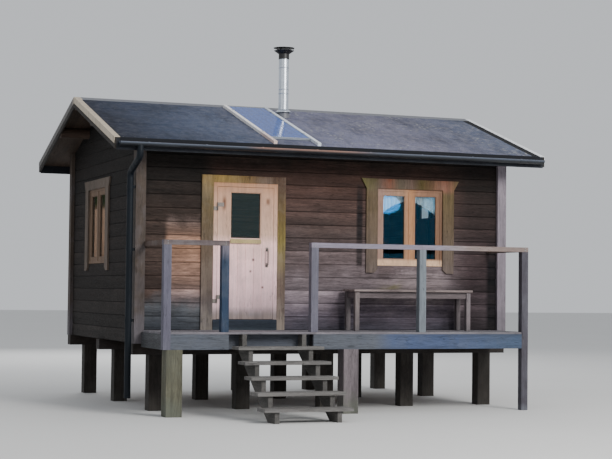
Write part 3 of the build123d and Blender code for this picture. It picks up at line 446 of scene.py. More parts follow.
# The left gable's shade is darker than the right one's: painted shade.
left_gable_painted_shade = ("Z", [(0.95, 42, 38, 36), (1.6, 34, 29, 27), (2.6, 28, 23, 21), (4.2, 16, 13, 12)])
far_shade = ("Z", [(0.95, 78, 75, 76), (1.6, 70, 62, 59), (2.6, 60, 50, 46), (4.2, 34, 28, 26)])
skin, turn_over = 0.05, 0.02
front_inside = ("Y", front_face + skin, front_face + skin + turn_over)
rear_inside = ("Y", rear_face - skin, rear_face - skin - turn_over)
left_inside = ("X", -side_face + skin, -side_face + skin + turn_over)
right_inside = ("X", side_face - skin, side_face - skin - turn_over)
dress(log_wall("log_wall_front", ALONG_X, front_shade, front_inside, front_stains_and_painted_light),
      "front_sill", "front_wall_left", "front_wall_right", "front_wall_top")
dress(log_wall("log_wall_rear", ALONG_X, rear_shade, rear_inside), "rear_wall")
dress(log_wall("log_wall_left", ALONG_Y, left_gable_painted_shade, left_inside), "left_wall")
dress(log_wall("log_wall_right", ALONG_Y, far_shade, right_inside), "right_wall")

# Corner posts. Planed 140 mm posts, grooved for the logs. The left ones kept their brown stain, the right ones
# have bleached, with grey drying cracks.
dress(timber("corner_post_timber", ("X", -0.5, 0.5, (74, 64, 57), (128, 119, 128)), ALONG_Z, 0.2,
             (96, 92, 98), deck_top, 0.5, blotch=0.3, deep=0.002), "corner_posts")

# Roof logs. The ridge log and two purlins are peeled round logs that lie in the gables and carry the roof boards.
# They are pale inside, and stained dark where they reach out under the verges.
dark_stain, gable_plane = (64, 50, 42), 2.74
outside = ("X", [(-3.3, *dark_stain), (-gable_plane, *indoor_pine), (gable_plane, *dark_stain), (3.3, *dark_stain)],
           "CONSTANT")
dress(timber("roof_log_timber", outside, ALONG_X, knot=0.7), "roof_logs")

# Roof boards. The deck of the roof is nailed to the roof logs, and its underside shows as pine boards 110 mm wide
# that run up the slope, stained dark at the eaves and verges. They stop at the roof logs and round the flue.
pitch = radians(18.3)
slope = tan(pitch)
middle_y, ridge_top, eave_edge, roof_run = 0.965, 4.4417, -1.435, 2.4
boards_deep = 0.0474
flue_low, flue_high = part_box("chimney_pipe")
flue_place, flue_hole = ((flue_low.x + flue_high.x) / 2, (flue_low.y + flue_high.y) / 2), 0.13
slopes = (("front", -1), ("rear", 1))


def on_slope(x, run, lift, direction):
    """Place on a slope: along the cabin, run from the ridge line, where the height falls by the run times the
    slope, and lift over the top of the boards."""
    x, run, lift = np.broadcast_arrays(x, run, lift)
    return np.stack([x, middle_y + direction * run, ridge_top - run * slope + lift], -1)


def lining(name, direction):
    """Boards under one slope, laid out flat as x, run from the ridge line and lift, and then carried onto it.
    They lie between the roof logs, the walls and the corner posts, and go on outside them to the eave."""
    boxes = []
    verge, gable, wall, eave, past_post = 3.215, (2.834, 2.688), (1.857, 1.952), 2.376, 2.003
    logs = [(-1.0, 0.078), (0.938, 1.051)]
    flue = [(middle_y - flue_place[1] - flue_hole, middle_y - flue_place[1] + flue_hole)]
    indoors = np.linspace(-gable[1], gable[1], 50)
    fields = [(np.linspace(-verge, -gable[0], 5), 0.0, eave), (np.linspace(gable[0], verge, 5), 0.0, eave),
              (indoors, 0.0, wall[0]), (indoors, wall[1], eave),
              ((-gable[0], -gable[1]), past_post, eave), ((gable[1], gable[0]), past_post, eave)]
    for edges, start, end in fields:
        for left, right in zip(edges[:-1], edges[1:]):
            at_flue = direction < 0 and left < flue_place[0] + flue_hole and right > flue_place[0] - flue_hole
            spans = [(start, end)]
            for off, on in logs + (flue if at_flue else []):
                spans = [part for a, b in spans for part in ((a, min(b, off)), (max(a, on), b))
                         if part[1] - part[0] > 0.02]
            boxes += [((left + 0.0006, a, -0.003), (right - 0.0006, b, 0.0008)) for a, b in spans]

    def under_slope(points):
        return on_slope(points[..., 0], points[..., 1], points[..., 2] - boards_deep, direction)

    return boards(name, boxes, 1, 0.0012, under_slope)


lining_shade = ("Y", [(-1.5, 52, 42, 36), (-0.94, *indoor_pine), (2.87, 52, 42, 36), (3.4, 52, 42, 36)],
                "CONSTANT")
lining_shade = ("X", -2.735, -2.73, (58, 46, 38), ("X", 2.73, 2.735, lining_shade, (58, 46, 38)))
lining_wood = timber("roof_board_underside", lining_shade, ALONG_Y, 0.25, knot=0.7, crack=0.3, deep=0.0006)
edge_spots = [({"Y": (-1.45, -1.434, 0.0005)}, (26, 28, 34)), ({"Y": (3.364, 3.4, 0.0005)}, (26, 28, 34))]
dress(timber("roof_board_timber", lining_shade, ALONG_Y, 0.25, spots=edge_spots), "roof_front", "roof_rear")
for side, direction in slopes:
    add(lining(f"eave_boards_{side}", direction), lining_wood)

# Roofing felt. Mineral felt in three rolls a slope, laid along the eave from the bottom up. Each roll laps the
# one below, nails hold the laps, and the lowest front roll is turned down over the boards into the gutter.
laps = (0.0, 0.86, 1.72)


def felt_slope(name, direction):
    """Felt on one slope. Its section, in metres up from the eave and over the boards, steps up at each lap, and is
    carried along the roof. Two sines along the roof make each lap's edge a little wavy, and one lifts the felt."""
    top = roof_run - 0.152
    turned_down = [(-0.0035, -0.047), (-0.004, -0.001), (-0.002, 0.0018)]
    section = turned_down if direction < 0 else [(0.0, -0.002), (0.0, 0.0016)]
    for number, (start, end) in enumerate(zip(laps, (*laps[1:], top))):
        if number:
            section += [(start, 0.0018), (start, 0.0058)]
        section += [(start + 0.03, 0.0048), ((start + end) / 2, 0.0028), (end - 0.002, 0.0018)]
    section += [(top, -0.002), (1.2, -0.002), (0.02, -0.002)]
    section += [(0.0006, -0.003), (0.0006, -0.047)] if direction < 0 else []
    section = np.array(section)
    along = np.linspace(-3.164, 3.164, 160)
    wave = 0.004 * np.sin(along * 2.3 + direction) + 0.0025 * np.sin(along * 7.1 + 2 * direction)
    inner = (section[:, 0] > 0.5) & (section[:, 0] < 2.2) & (section[:, 1] > 0)
    points = on_slope(along[:, None], roof_run - (section[:, 0] + wave[:, None] * inner), section[:, 1], direction)
    swell = 1 + np.sin(along[:, None] * 5.0 + section[:, 0] * 3.0)
    points[..., 2] += 0.0009 * swell * (section[:, 1] > 0)
    return swept(name, points[None])


speckle, take = new_group("mineral speckle", Place=(0, 0, 0))
chips = cells(take["Place"], 260.0)
give(speckle, Tone=calc("MULTIPLY_ADD", own_value(chips), 0.55, times(noise(take["Place"], 45.0, 4.0, 0.7), 0.45)),
     Height=calc("SUBTRACT", 1.0, chips["Distance"]))

felt_shade = ("X", [(-3.2, 13, 19, 36), (-2.4, 43, 53, 73), (-1.3, 63, 72, 93), (-0.2, 91, 93, 115),
                    (1.4, 94, 94, 113), (2.5, 76, 81, 101), (3.2, 68, 77, 96)])
felt_finish, place = begin("mineral_felt")
chips = group(speckle, place)
where = axes(place)
colour = shaded(where, felt_shade)
patches = noise(place, 0.9, 4.0, 0.6)
colour = shade_by(colour, fade(patches, 0.35, 0.65, 0.8, 1.15))
colour = shade_by(colour, fade(chips["Tone"], 0.3, 0.7, 0.55, 1.5))
mottle = fade(noise(place, 9.0, 5.0, 0.75), 0.4, 0.66)
colour = mix(times(mottle, fade(where["X"], -2.5, 0.0, 0.12, 0.42)), colour, (132, 130, 138))
streaks = stretched(place, (1.0, 0.18, 0.5))
colour = shade_by(colour, fade(noise(streaks, 6.0, 5.0, 0.7), 0.45, 0.72, 1.05, 0.7))
crust = times(fade(cells(place, 13.0)["Distance"], 0.36, 0.14), fade(noise(place, 1.3, 3.0), 0.5, 0.6))
crust = times(crust, fade(where["X"], -1.2, 0.4, 0.15, 1.0))
colour = mix(times(crust, 0.6), colour, (168, 168, 160))
# A black strip along the front slope's right verge, inside the capping: painted shadow of the capping.
painted_capping_shadow = within(where, X=(3.035, 3.3, 0.006), Y=(-2.0, 0.95, 0.01))
colour = mix(painted_capping_shadow, colour, shade_by((13, 14, 18), fade(chips["Tone"], 0.3, 0.7, 0.7, 1.4)))
flat = within(where, Y=(eave_edge + 0.001, 4.0, 0.0008))
colour = mix(flat, (22, 24, 30), colour)
close(colour, 0.85, chips["Height"], 0.0012, 0.6, Specular_IOR_Level=0.3)
for side, direction in slopes:
    add(felt_slope(f"roof_felt_{side}", direction), felt_finish)


def ring_round(lines, sides):
    """Directions round each line in a ring of so many steps: the cosine of the turn aside, its sine above."""
    aside = np.cross(lines, np.where(np.abs(lines[:, 2:]) > 0.9, (1.0, 0.0, 0.0), (0.0, 0.0, 1.0)))
    aside /= np.linalg.norm(aside, axis=1, keepdims=True)
    above = np.cross(lines, aside)
    turn = np.arange(sides) * 2 * pi / sides
    return np.cos(turn)[:, None] * aside[:, None, None] + np.sin(turn)[:, None] * above[:, None, None]


def studs(name, places, outward, radius, rise, sides=8):
    """Small domed heads. Each is a quarter circle turned round the outward direction: the ring's radius falls
    with the cosine of the angle while its height grows with the sine. A small flat closes the top, and the foot
    goes into what it holds."""
    places = np.atleast_2d(places).astype(float)
    outward = np.broadcast_to(np.asarray(outward, float), places.shape)
    angle = np.array([0.0, 0.0, 0.45, 0.8, 1.0]) * pi / 2
    ring, tall = radius * np.cos(angle), rise * np.sin(angle)
    ring[-1], tall[0] = radius * 0.12, -rise
    points = places[:, None, None] + ring[:, None, None] * ring_round(outward, sides)
    return swept(name, points + tall[:, None, None] * outward[:, None, None], True)


def off_slope(direction):
    """Direction straight off a slope: the sine of its pitch outwards, and the cosine up."""
    return 0, direction * sin(pitch), cos(pitch)


def bare_metal(name, scale, dark, light, rough, metallic, deep=0.0003):
    """Material of bare metal, gone dull in spots: two colours and two roughnesses mixed by one noise."""
    material, place = begin(name)
    dull = noise(place, scale, 4.0, 0.7)
    close(mix(dull, dark, light), fade(dull, 0.3, 0.7, *rough), dull, deep, Metallic=metallic)
    return material


zinc = bare_metal("zinc_fixings", 40.0, (112, 116, 120), (160, 162, 164), (0.6, 0.38), 0.9)
nail_x = np.arange(-3.12, 3.13, 0.16)
for side, direction in slopes:
    places = [on_slope(nail_x, roof_run - lap - 0.018, 0.0066, direction) for lap in laps]
    add(studs(f"felt_nails_{side}", np.concatenate(places), off_slope(direction), 0.0045, 0.0012), zinc)

# Verge and ridge cappings and the flue's collar. Folded sheet metal, coated pale grey, dull with rain marks, and
# held with dome-headed screws.


def coated_metal(name, shade, dirt, rough=0.45, along=(1, 1, 0.2), gloss=0.5):
    """Material of coated sheet metal: its shade with rain streaks and dust."""
    material, place = begin(name)
    marks = fade(noise(stretched(place, along), 18.0, 6.0, 0.7), 0.45, 0.75)
    fine = noise(place, 160.0, 3.0)
    colour = mix(times(marks, 0.6), shaded(axes(place), shade), dirt)
    colour = mix(fade(fine, 0.5, 0.7, 0.0, 0.25), colour, dirt)
    close(colour, fade(marks, 0.0, 1.0, rough, rough + 0.3), fine, 0.0003, Specular_IOR_Level=gloss)
    return material


capping = ("X", [(-3.3, 190, 175, 152), (-3.165, 96, 99, 108), (3.165, 234, 236, 240)], "CONSTANT")
# Darker on the rear slope: painted shade.
capping = ("Y", 0.9, 1.1, capping, (64, 60, 57))
capping_metal = coated_metal("pale_capping", capping, (118, 114, 110))
dress(capping_metal, "ridge_cap", "verge_caps", "chimney_collar")
spots = [(x, run) for run in np.arange(0.25, 2.35, 0.4) for x in (-3.2, 3.2)]
spots += [(x, 0.115) for x in np.arange(-3.0, 3.01, 0.5)]
places = [on_slope(x, run, 0.0044, direction) for _, direction in slopes for x, run in spots]
outward = [off_slope(direction) for _, direction in slopes for _ in spots]
add(studs("capping_screws", places, outward, 0.006, 0.0026, 10), zinc)

# Bargeboards and fascias. Planed boards, painted dark and gone dull, nailed under the cappings and the eaves. A thin
# strip of the cappings' pale metal covers the upper edge of each bargeboard.
dress(timber("bargeboard_paint", (40, 36, 33), ALONG_Y, 0.2, (56, 52, 50), 0.0, 0.1, 0.4, 0.25, deep=0.0008),
      "bargeboards")


def down_slopes(points):
    """Carries strips made flat, in x, run and drop, onto the slopes: a run below nought is on the front slope."""
    run = points[..., 1]
    return on_slope(points[..., 0], np.abs(run), -points[..., 2], np.sign(run))


boxes = [((left, start, 0.040), (right, start + 2.388, 0.086))
         for left, right in ((-3.2446, -3.2403), (3.2403, 3.2446)) for start in (-2.39, 0.002)]
add(boards("verge_strips", boxes, 1, 0.0008, down_slopes), capping_metal)
dress(timber("fascia_paint", (26, 29, 36), ALONG_X, 0.2, (48, 52, 60), 0.0, 0.1, 0.35, 0.25, deep=0.0008),
      "eave_fascias")
nail_head, place = begin("rusty_nail_heads")
rust = noise(place, 120.0, 3.0)
close(mix(rust, (40, 34, 32), (92, 66, 48)), 0.75, rust, 0.0003, Metallic=0.3)
board_face = 3.241
spots = [(side, run, drop, direction) for side in (-1, 1) for direction in (-1, 1)
         for run in np.arange(0.15, 2.35, 0.45) for drop in (0.1, 0.135)]
places = [on_slope(side * board_face, run, -drop, direction) for side, run, drop, direction in spots]
add(studs("bargeboard_nails", places, [(side, 0, 0) for side, *_ in spots], 0.0045, 0.001), nail_head)

# Gutter and downpipe. Dark blue-green coated steel. The gutter's rolled lip is paler, a painted highlight. It hangs
# in brackets screwed to the fascia, one every 800 mm, with a union where two lengths meet.
gutter_low, gutter_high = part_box("gutter")
gutter_y, gutter_top, gutter_radius = (gutter_low.y + gutter_high.y) / 2, gutter_high.z, 0.058
# Dark low down and lighter up to the rolled lip: a painted highlight on the lip, here and on the rusted length.
gutter_with_painted_highlight = ("Z", [(3.53, 12, 15, 19), (gutter_top - 0.03, 18, 23, 30), (gutter_top - 0.014, 58, 66, 80),
                      (gutter_top, 88, 94, 108)])
rusted = ("Z", [(3.53, 12, 15, 19), (gutter_top - 0.03, 26, 26, 30), (gutter_top - 0.016, 112, 84, 74),
                (gutter_top, 140, 104, 90)])
gutter_with_painted_highlight = ("X", -1.5, -1.1, gutter_with_painted_highlight, ("X", -0.1, 0.6, rusted, gutter_with_painted_highlight))
gutter_finish = coated_metal("dark_gutter_coating", gutter_with_painted_highlight, (52, 58, 66), 0.4, along=(0.15, 1, 1))
dress(gutter_finish, "gutter")
dress(coated_metal("dark_downpipe_coating", (10, 18, 26), (16, 24, 32), 0.5, gloss=0.22), "downpipe")


def gutter_straps(name, places, bend, width, thick):
    """Flat straps bent round the gutter at some places along it. The path is an arc, the cosine of its bend across
    and the sine down, kept level where it comes up past the rim. The section carried along it is a rectangle."""
    outward = np.column_stack([np.zeros(len(bend)), np.cos(bend), -np.sin(bend)])
    reach = gutter_radius + 0.0005
    path = np.column_stack([np.zeros(len(bend)), gutter_y + np.cos(bend) * reach,
                            gutter_top + np.minimum(-np.sin(bend), 0.12) * reach])
    along = np.array([1.0, 0.0, 0.0])
    paths = path + np.asarray(places, float)[:, None, None] * along
    corners = [(-0.5, 0.0), (0.5, 0.0), (0.5, 1.0), (-0.5, 1.0)]
    return swept(name, np.stack([paths + wide * width * along + high * thick * outward for wide, high in corners], 2))


add(gutter_straps("gutter_brackets", np.arange(-2.8, 2.81, 0.8), np.linspace(-0.5, pi + 0.06, 22), 0.024, 0.003),
    gutter_finish)
add(gutter_straps("gutter_unions", (-1.5925, 0.0, 1.5925), np.linspace(0, pi, 20), 0.07, 0.0022), gutter_finish)

# Chimney. A bright stainless flue of pushed-together lengths, with rolled bands at the joints. A storm collar is
# clamped round it over the roof's collar, and a black painted cowl sits on top.


def turned(name, centre, section):
    """Ring turned round an upright line in 64 steps: each point of the section is a radius and a height."""
    section, sides = np.asarray(section, float), 64
    turn = np.arange(sides) * 2 * pi / sides
    points = np.empty((sides, len(section), 3))
    points[..., 0] = centre[0] + np.cos(turn)[:, None] * section[:, 0]
    points[..., 1] = centre[1] + np.sin(turn)[:, None] * section[:, 0]
    points[..., 2] = section[:, 1]
    return mesh_piece(name, points, grid_faces(sides, len(section), True, True).tolist(), True)


flue_finish, place = begin("bright_flue_steel")
brushed = stretched(place, (1, 1, 0.04))
lines = noise(brushed, 220.0, 3.0)
soot = fade(axes(place)["Z"], flue_high.z - 0.4, flue_high.z - 0.02, 0.0, 0.5)
stain = times(fade(noise(brushed, 14.0, 5.0, 0.7), 0.4, 0.65), soot)
colour = mix(fade(lines, 0.3, 0.7), (188, 196, 206), (228, 234, 242))
colour = mix(stain, colour, (112, 98, 82))
close(colour, fade(lines, 0.3, 0.7, 0.24, 0.4), lines, 0.0002, Metallic=1.0)
dress(flue_finish, "chimney_pipe")
dress(coated_metal("black_cowl_paint", (18, 18, 20), (48, 44, 42), 0.45), "chimney_cowl")
flue_radius = (flue_high.x - flue_low.x) / 2
collar_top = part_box("chimney_collar")[1].z
band = [(-0.0005, -0.008), (0.003, -0.006), (0.0042, 0.0), (0.003, 0.006), (-0.0005, 0.008)]
storm = [(0.0005, 0.03), (0.004, 0.03), (0.045, -0.012), (0.045, -0.016), (0.0005, 0.022)]
for name, section, level in (("flue_band_1", band, 0.27), ("flue_band_2", band, 0.33), ("flue_band_3", band, 0.66),
                             ("storm_collar", storm, 0.0)):
    ring = [(flue_radius + out, collar_top + level + up) for out, up in section]
    add(turned(name, flue_place, ring), flue_finish)

# Panel on the front slope. A glazed sheet of dark blue cells in an aluminium frame, clamped between two pale rails
# that are screwed down through the felt.


def on_roof(x, up_slope, lift):
    """Place on the front slope: along the cabin, metres up the slope from the eave, and metres off the roof."""
    x, up_slope, lift = np.broadcast_arrays(x, up_slope, lift)
    return np.stack([x, eave_edge + up_slope * cos(pitch) - lift * sin(pitch),
                     ridge_top - roof_run * slope + up_slope * sin(pitch) + lift * cos(pitch)], -1)


def on_roof_shape(points):
    """Carries boards made flat, in x, up the slope and lift, onto the front slope."""
    return on_roof(*np.moveaxis(points, -1, 0))


rail_shade = ("Y", -1.1, -0.7, (226, 200, 190), (248, 246, 244))
rail_shade = ("X", -0.66, -0.64, rail_shade, (222, 230, 240))
dress(coated_metal("pale_rail_coating", rail_shade, (196, 186, 184), 0.35), "panel_rails")
panel_left, panel_right, panel_foot, panel_head, lip = -0.95, -0.35, 0.305, 2.305, 0.012
panel_middle, under, over = -0.65, 0.008, 0.040
frame_sides = [((x, panel_foot, under), (x + lip, panel_head, over)) for x in (panel_left, panel_right - lip)]
frame_ends = [((panel_left + lip, up, under), (panel_right - lip, up + lip, over))
              for up in (panel_foot, panel_head - lip)]
aluminium = bare_metal("panel_frame_aluminium", 30.0, (150, 158, 168), (190, 196, 204), (0.5, 0.35), 0.7, 0.0002)
add(boards("panel_frame_sides", frame_sides, 1, 0.001, on_roof_shape), aluminium)
add(boards("panel_frame_ends", frame_ends, 0, 0.001, on_roof_shape), aluminium)
sheet = (panel_left + lip, panel_foot + lip, 0.012), (panel_right - lip, panel_head - lip, 0.0375)
sheet_piece = boards("panel_sheet", [sheet], 1, 0.0006, on_roof_shape)
cell_finish, place = begin("panel_cells")
where = axes(stretched(place, (1, 1 / cos(pitch), 1), (-panel_middle, 0, 0)))
cell = 0.096


def from_middle(value, step):
    """Distance of a value from the middle of its step, in steps, on a row of even steps."""
    return calc("ABSOLUTE", calc("SUBTRACT", calc("FRACT", calc("DIVIDE", value, step)), 0.5))


edges = fade(calc("MAXIMUM", from_middle(where["X"], cell), from_middle(where["Y"], cell)), 0.475, 0.49)
fingers = fade(from_middle(where["X"], cell / 3), 0.47, 0.49)
colour = mix(own_value(cells(place, 55.0)), (30, 60, 128), (54, 94, 178))
colour = mix(times(fingers, 0.5), colour, (120, 150, 200))
colour = mix(edges, colour, (20, 28, 48))
dust = fade(noise(place, 3.0, 5.0, 0.7), 0.4, 0.7)
colour = mix(times(dust, 0.2), colour, (130, 142, 168))
close(colour, fade(dust, 0.0, 1.0, 0.12, 0.3), Specular_IOR_Level=0.12, Specular_Tint=(0.5, 0.75, 1.0, 1.0))
add(sheet_piece, cell_finish)
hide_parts("solar_panel")
boxes = [((x - 0.022, up - 0.02, 0.0405), (x + 0.022, up + 0.02, 0.0485))
         for x in (panel_middle - 0.305, panel_middle + 0.305) for up in (panel_foot + 0.3, panel_head - 0.3)]
add(boards("panel_clamps", boxes, 1, 0.0012, on_roof_shape), aluminium)
screws = [on_roof(panel_middle + side * 0.325, up, 0.0452) for side in (-1, 1) for up in np.arange(0.1, 2.35, 0.44)]
add(studs("rail_screws", screws, (0, -sin(pitch), cos(pitch)), 0.006, 0.003, 10), zinc)

# Entrance. Frame and leaf of pine, whitened and gone pinkish low down and still peach above, over a high threshold
# that is near black, partly its own colour and partly painted shade under the leaf. The leaf is glazed above and
# boarded below, with a weatherboard between, and hangs on lift-off hinges.
door_shade = ("Z", [(1.24, 112, 108, 114), (1.31, 136, 128, 132), (1.42, 212, 180, 184),
                    (1.9, 252, 207, 210), (2.28, 252, 206, 200), (2.42, 206, 168, 146),
                    (2.95, 190, 148, 122), (3.12, 174, 128, 96)])
door_marks = [({"Z": (2.292, 2.357, 0.002), "Y": (-1.1, -1.007, 0.001)}, (176, 158, 112)),
              ({"X": (-1.585, -1.535, 0.025), "Z": (2.76, 2.92, 0.06)}, (112, 76, 58)),
              ({"X": (-0.945, -0.895, 0.025), "Z": (2.84, 2.92, 0.03)}, (122, 84, 62)),
              ({"X": (-1.146, -1.114, 0.012), "Z": (2.052, 2.084, 0.012)}, (104, 72, 70)),
              ({"X": (-1.184, -1.156, 0.012), "Z": (1.893, 1.921, 0.012)}, (116, 84, 82)),
              ({"X": (-1.004, -0.976, 0.012), "Z": (1.673, 1.701, 0.012)}, (104, 72, 70))]
door_wood = timber("whitened_door_pine", door_shade, ALONG_Z, 0.11, (146, 128, 122), 1.24, 0.2, 0.22, 0.8, 0.4,
                   deep=0.0006, spots=door_marks)
dress(door_wood, "door_leaf", "door_frame")
# The threshold's near black is partly its own colour and partly painted shade under the leaf.
dress(timber("threshold_timber", (41, 47, 57), ALONG_X, 0.2, (58, 66, 74), 1.1, 0.05, deep=0.0015, rough=(0.8, 0.95)),
      "door_threshold")
leaf_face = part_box("door_leaf")[0].y + 0.022


def beads(name, openings, faces, outward):
    """Four glazing beads inside each opening: two standing the full height, two lying between them. An opening is
    its left, foot, right and head, and faces are the beads' two places on the outward axis."""
    width, boxes = 0.012, []
    for left, foot, right, head in openings:
        for u0, v0, u1, v1 in ((left, foot, left + width, head), (right - width, foot, right, head),
                               (left + width, foot, right - width, foot + width),
                               (left + width, head - width, right - width, head)):
            box = np.empty((2, 3))
            box[:, 1 - outward], box[:, 2], box[:, outward] = (u0, u1), (v0, v1), sorted(faces)
            boxes.append(box)
    return boards(name, boxes, 2, 0.002)


glass_low, glass_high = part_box("door_glass")
add(beads("door_glazing_beads", [(glass_low.x, glass_low.z, glass_high.x, glass_high.z)],
          (leaf_face + 0.005, glass_low.y), 1), door_wood, "door")


def clear_glass(name, glint):
    """Material of a pane: clear, a little smeared, with its reflections tinted as by what stands before it."""
    material, place = begin(name)
    smear = fade(noise(place, 5.0, 4.0, 0.6), 0.4, 0.7)
    close(mix(smear, (212, 226, 233), (200, 218, 228)), fade(smear, 0.0, 1.0, 0.015, 0.045),
          Transmission_Weight=1.0, IOR=1.45, Specular_Tint=glint)
    return material


dress(clear_glass("door_pane", (0.8, 1.0, 0.95, 1.0)), "door_glass")
dress(clear_glass("window_pane", (0.15, 0.6, 1.0, 1.0)), "window_glass")

ironmongery, place = begin("dull_door_furniture")
scuff = noise(place, 90.0, 5.0, 0.7)
close(mix(fade(scuff, 0.5, 0.75), (112, 106, 102), (150, 140, 132)),
      fade(scuff, 0.3, 0.7, 0.6, 0.4), scuff, 0.0003, Metallic=0.6)
dress(ironmongery, "door_handle", "door_hinges", "hinge_pintles")
handle_low, handle_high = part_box("door_handle")
handle_x = (handle_low.x + handle_high.x) / 2
ends = (handle_low.z + 0.009, handle_high.z - 0.009)
boxes = [((handle_x - 0.02, leaf_face - 0.003, z - 0.028), (handle_x + 0.02, leaf_face + 0.0001, z + 0.028))
         for z in ends]
add(boards("handle_plates", boxes, 2, 0.001), ironmongery, "door")
heads = [(handle_x + across, leaf_face - 0.003, z + up)
         for z in ends for across, up in ((-0.013, 0.021), (0.013, -0.021))]
hinge_levels, hinge_screws = (1.548, 2.823), (-1.635, -1.608, -1.581)
heads += [(x, leaf_face - 0.004, z) for z in hinge_levels for x in hinge_screws]
add(studs("door_screws", heads, (0, -1, 0), 0.0035, 0.0012), ironmongery, "door")

# Door casings. Sawn boards round the door frame, olive on the left and over the door, the right one brown at its
# top, yellow half way and bleached pinkish grey low down. Nailed through to the frame and the logs.
right_casing = ("Z", [(1.1, 94, 78, 75), (1.8, 101, 85, 74), (2.3, 123, 109, 57), (2.7, 103, 84, 47),
                      (3.1, 80, 58, 43)])
left_casing = ("Z", [(1.1, 72, 72, 82), (1.7, 92, 77, 68), (2.3, 100, 84, 68), (2.9, 102, 86, 53),
                     (3.2, 137, 111, 60)])
dress(timber("olive_casing_timber", ("X", -1.6, -0.9, left_casing, right_casing), ALONG_Z, 0.24, (132, 122, 112),
             deck_top, 0.5, blotch=0.25, deep=0.0016), "door_casings")
upright = ("Z", [(1.9, 93, 86, 85), (2.05, 92, 80, 71), (2.6, 90, 75, 56), (3.1, 85, 71, 43)])
over = ("X", [(0.5, 84, 80, 42), (0.7, 86, 78, 44), (0.8, 88, 68, 58), (0.95, 104, 56, 34),
              (1.1, 84, 76, 58), (1.3, 92, 72, 62), (1.45, 78, 66, 28), (1.7, 104, 72, 54),
              (1.85, 120, 76, 58), (2.05, 88, 76, 50)])


def with_gables(front, gables):
    """Shade of pieces on the front wall, and another for their like on both gables."""
    return "X", -2.0, -1.9, gables, ("X", 2.2, 2.3, front, gables)


dress(timber("window_casing_timber", with_gables(("Z", 3.05, 3.14, upright, over), (94, 83, 74)), ALONG_Z, 0.26,
             (98, 84, 76), 1.9, 0.2, blotch=0.3, deep=0.0016), "window_casings")
front_casing, gable_casing = -1.010, 2.805
by_window = [(across, z) for across in (0.60, 0.74, 1.82, 1.96) for z in np.arange(2.1, 3.1, 0.31)]
spots = [(x, z) for x in (-1.84, -1.745, -0.735, -0.695) for z in np.arange(1.25, 3.2, 0.46)]
spots += [(x, 3.18) for x in np.arange(-1.7, -0.7, 0.3)] + by_window
spots += [(x, 3.2) for x in np.arange(0.68, 1.95, 0.3)]
nails = [(x, front_casing, z) for x, z in spots]
nails += [(side * gable_casing, y, z) for side in (-1, 1) for y, z in by_window]
outward = [(0, -1, 0)] * len(spots) + [(side, 0, 0) for side in (-1, 1) for _ in by_window]
add(studs("casing_nails", nails, outward, 0.0045, 0.0009), nail_head)

# Windows. Oiled pine frames flush with the wall, each with two casements, pinkish tan on the left, more orange
# at the mullion, bleached to cream along the bottom rails. Each pane is held by beads.
warm = ("X", [(0.7, 140, 112, 102), (1.18, 150, 118, 94), (1.24, 172, 128, 96), (1.31, 166, 120, 84),
              (1.4, 140, 104, 82), (1.85, 112, 84, 66)])
sash_shade = ("Z", 2.13, 2.08, warm, (204, 170, 140))
sash_wood = timber("oiled_sash_pine", with_gables(sash_shade, (112, 92, 76)), ALONG_Z, 0.14, knot=0.4, crack=0.3,
                   deep=0.0006)
dress(sash_wood, "window_sashes", "window_frames")
panes = [(0.850, 2.110, 1.204, 3.040), (1.356, 2.110, 1.710, 3.040)]
add(beads("front_window_beads", panes, (-0.9735, -0.9575), 1), sash_wood)
gables = (("left", -1), ("right", 1))
for name, side in gables:
    add(beads(f"{name}_window_beads", panes, (side * 2.7685, side * 2.7525), 0), sash_wood)

# Curtains. A white lace valance on a thin rod inside the front window, cut in two arches with a scalloped hem, and
# plain tan café curtains across the gable windows. The cloth is held in soft folds by its rod pocket.


def rods(name, starts, ends, radius):
    """Round bars from start to end. The section's ring is carried along the line, drawn in at both ends."""
    starts, ends = np.array(starts, float), np.array(ends, float)
    length = np.linalg.norm(ends - starts, axis=1)[:, None]
    line = (ends - starts) / length
    wide = np.array([0.75, 1.0, 1.0, 0.75]) * radius
    first = np.full_like(length, 0.25 * radius)
    reach = np.stack([np.zeros_like(length), first, length - first, length], 1)
    points = starts[:, None, None] + reach[..., None] * line[:, None, None]
    return swept(name, points + wide[:, None, None] * ring_round(line, 16), True)


def hanging(name, start, end, out, drop, folds, deep, gather, rows):
    """Cloth hung from its rod, on a grid. The first parameter runs along the rod and the second down the drop,
    which may differ along the rod. The cloth stands off the rod by the sine of its folds, whose depth grows from
    gather at the top to one at the hem. Its UV map is in metres of cloth."""
    start, end, out = (np.asarray(value, float) for value in (start, end, out))
    u, v = np.linspace(0, 1, 14 * folds + 1)[:, None], np.linspace(0, 1, rows)[None]
    wave = deep * (gather + (1 - gather) * v) * np.sin(2 * pi * folds * u + 0.9 * np.sin(2 * pi * 1.7 * u))
    points = start + (end - start) * u[..., None] + out * wave[..., None] + np.zeros((1, rows, 1))
    points[..., 2] -= drop(u) * v
    across = np.linalg.norm(np.diff(points[:, -1, :2], axis=0), axis=1)
    cloth = np.empty((len(u), rows, 2))
    cloth[..., 0] = np.concatenate([[0.0], np.cumsum(across)])[:, None]
    cloth[..., 1] = -drop(u) * v
    first, second = points[1:, :-1] - points[:-1, :-1], points[:-1, 1:] - points[:-1, :-1]
    area = float(np.linalg.norm(np.cross(first, second), axis=-1).sum())
    faces = grid_faces(len(u), rows)
    piece = mesh_piece(name, points, faces.tolist(), True, False)
    piece.data.uv_layers.new(name="UVMap").uv.foreach_set("vector", cloth.reshape(-1, 2)[faces.ravel()].ravel())
    return piece, (float(across.sum()), float(drop(u).max())), area


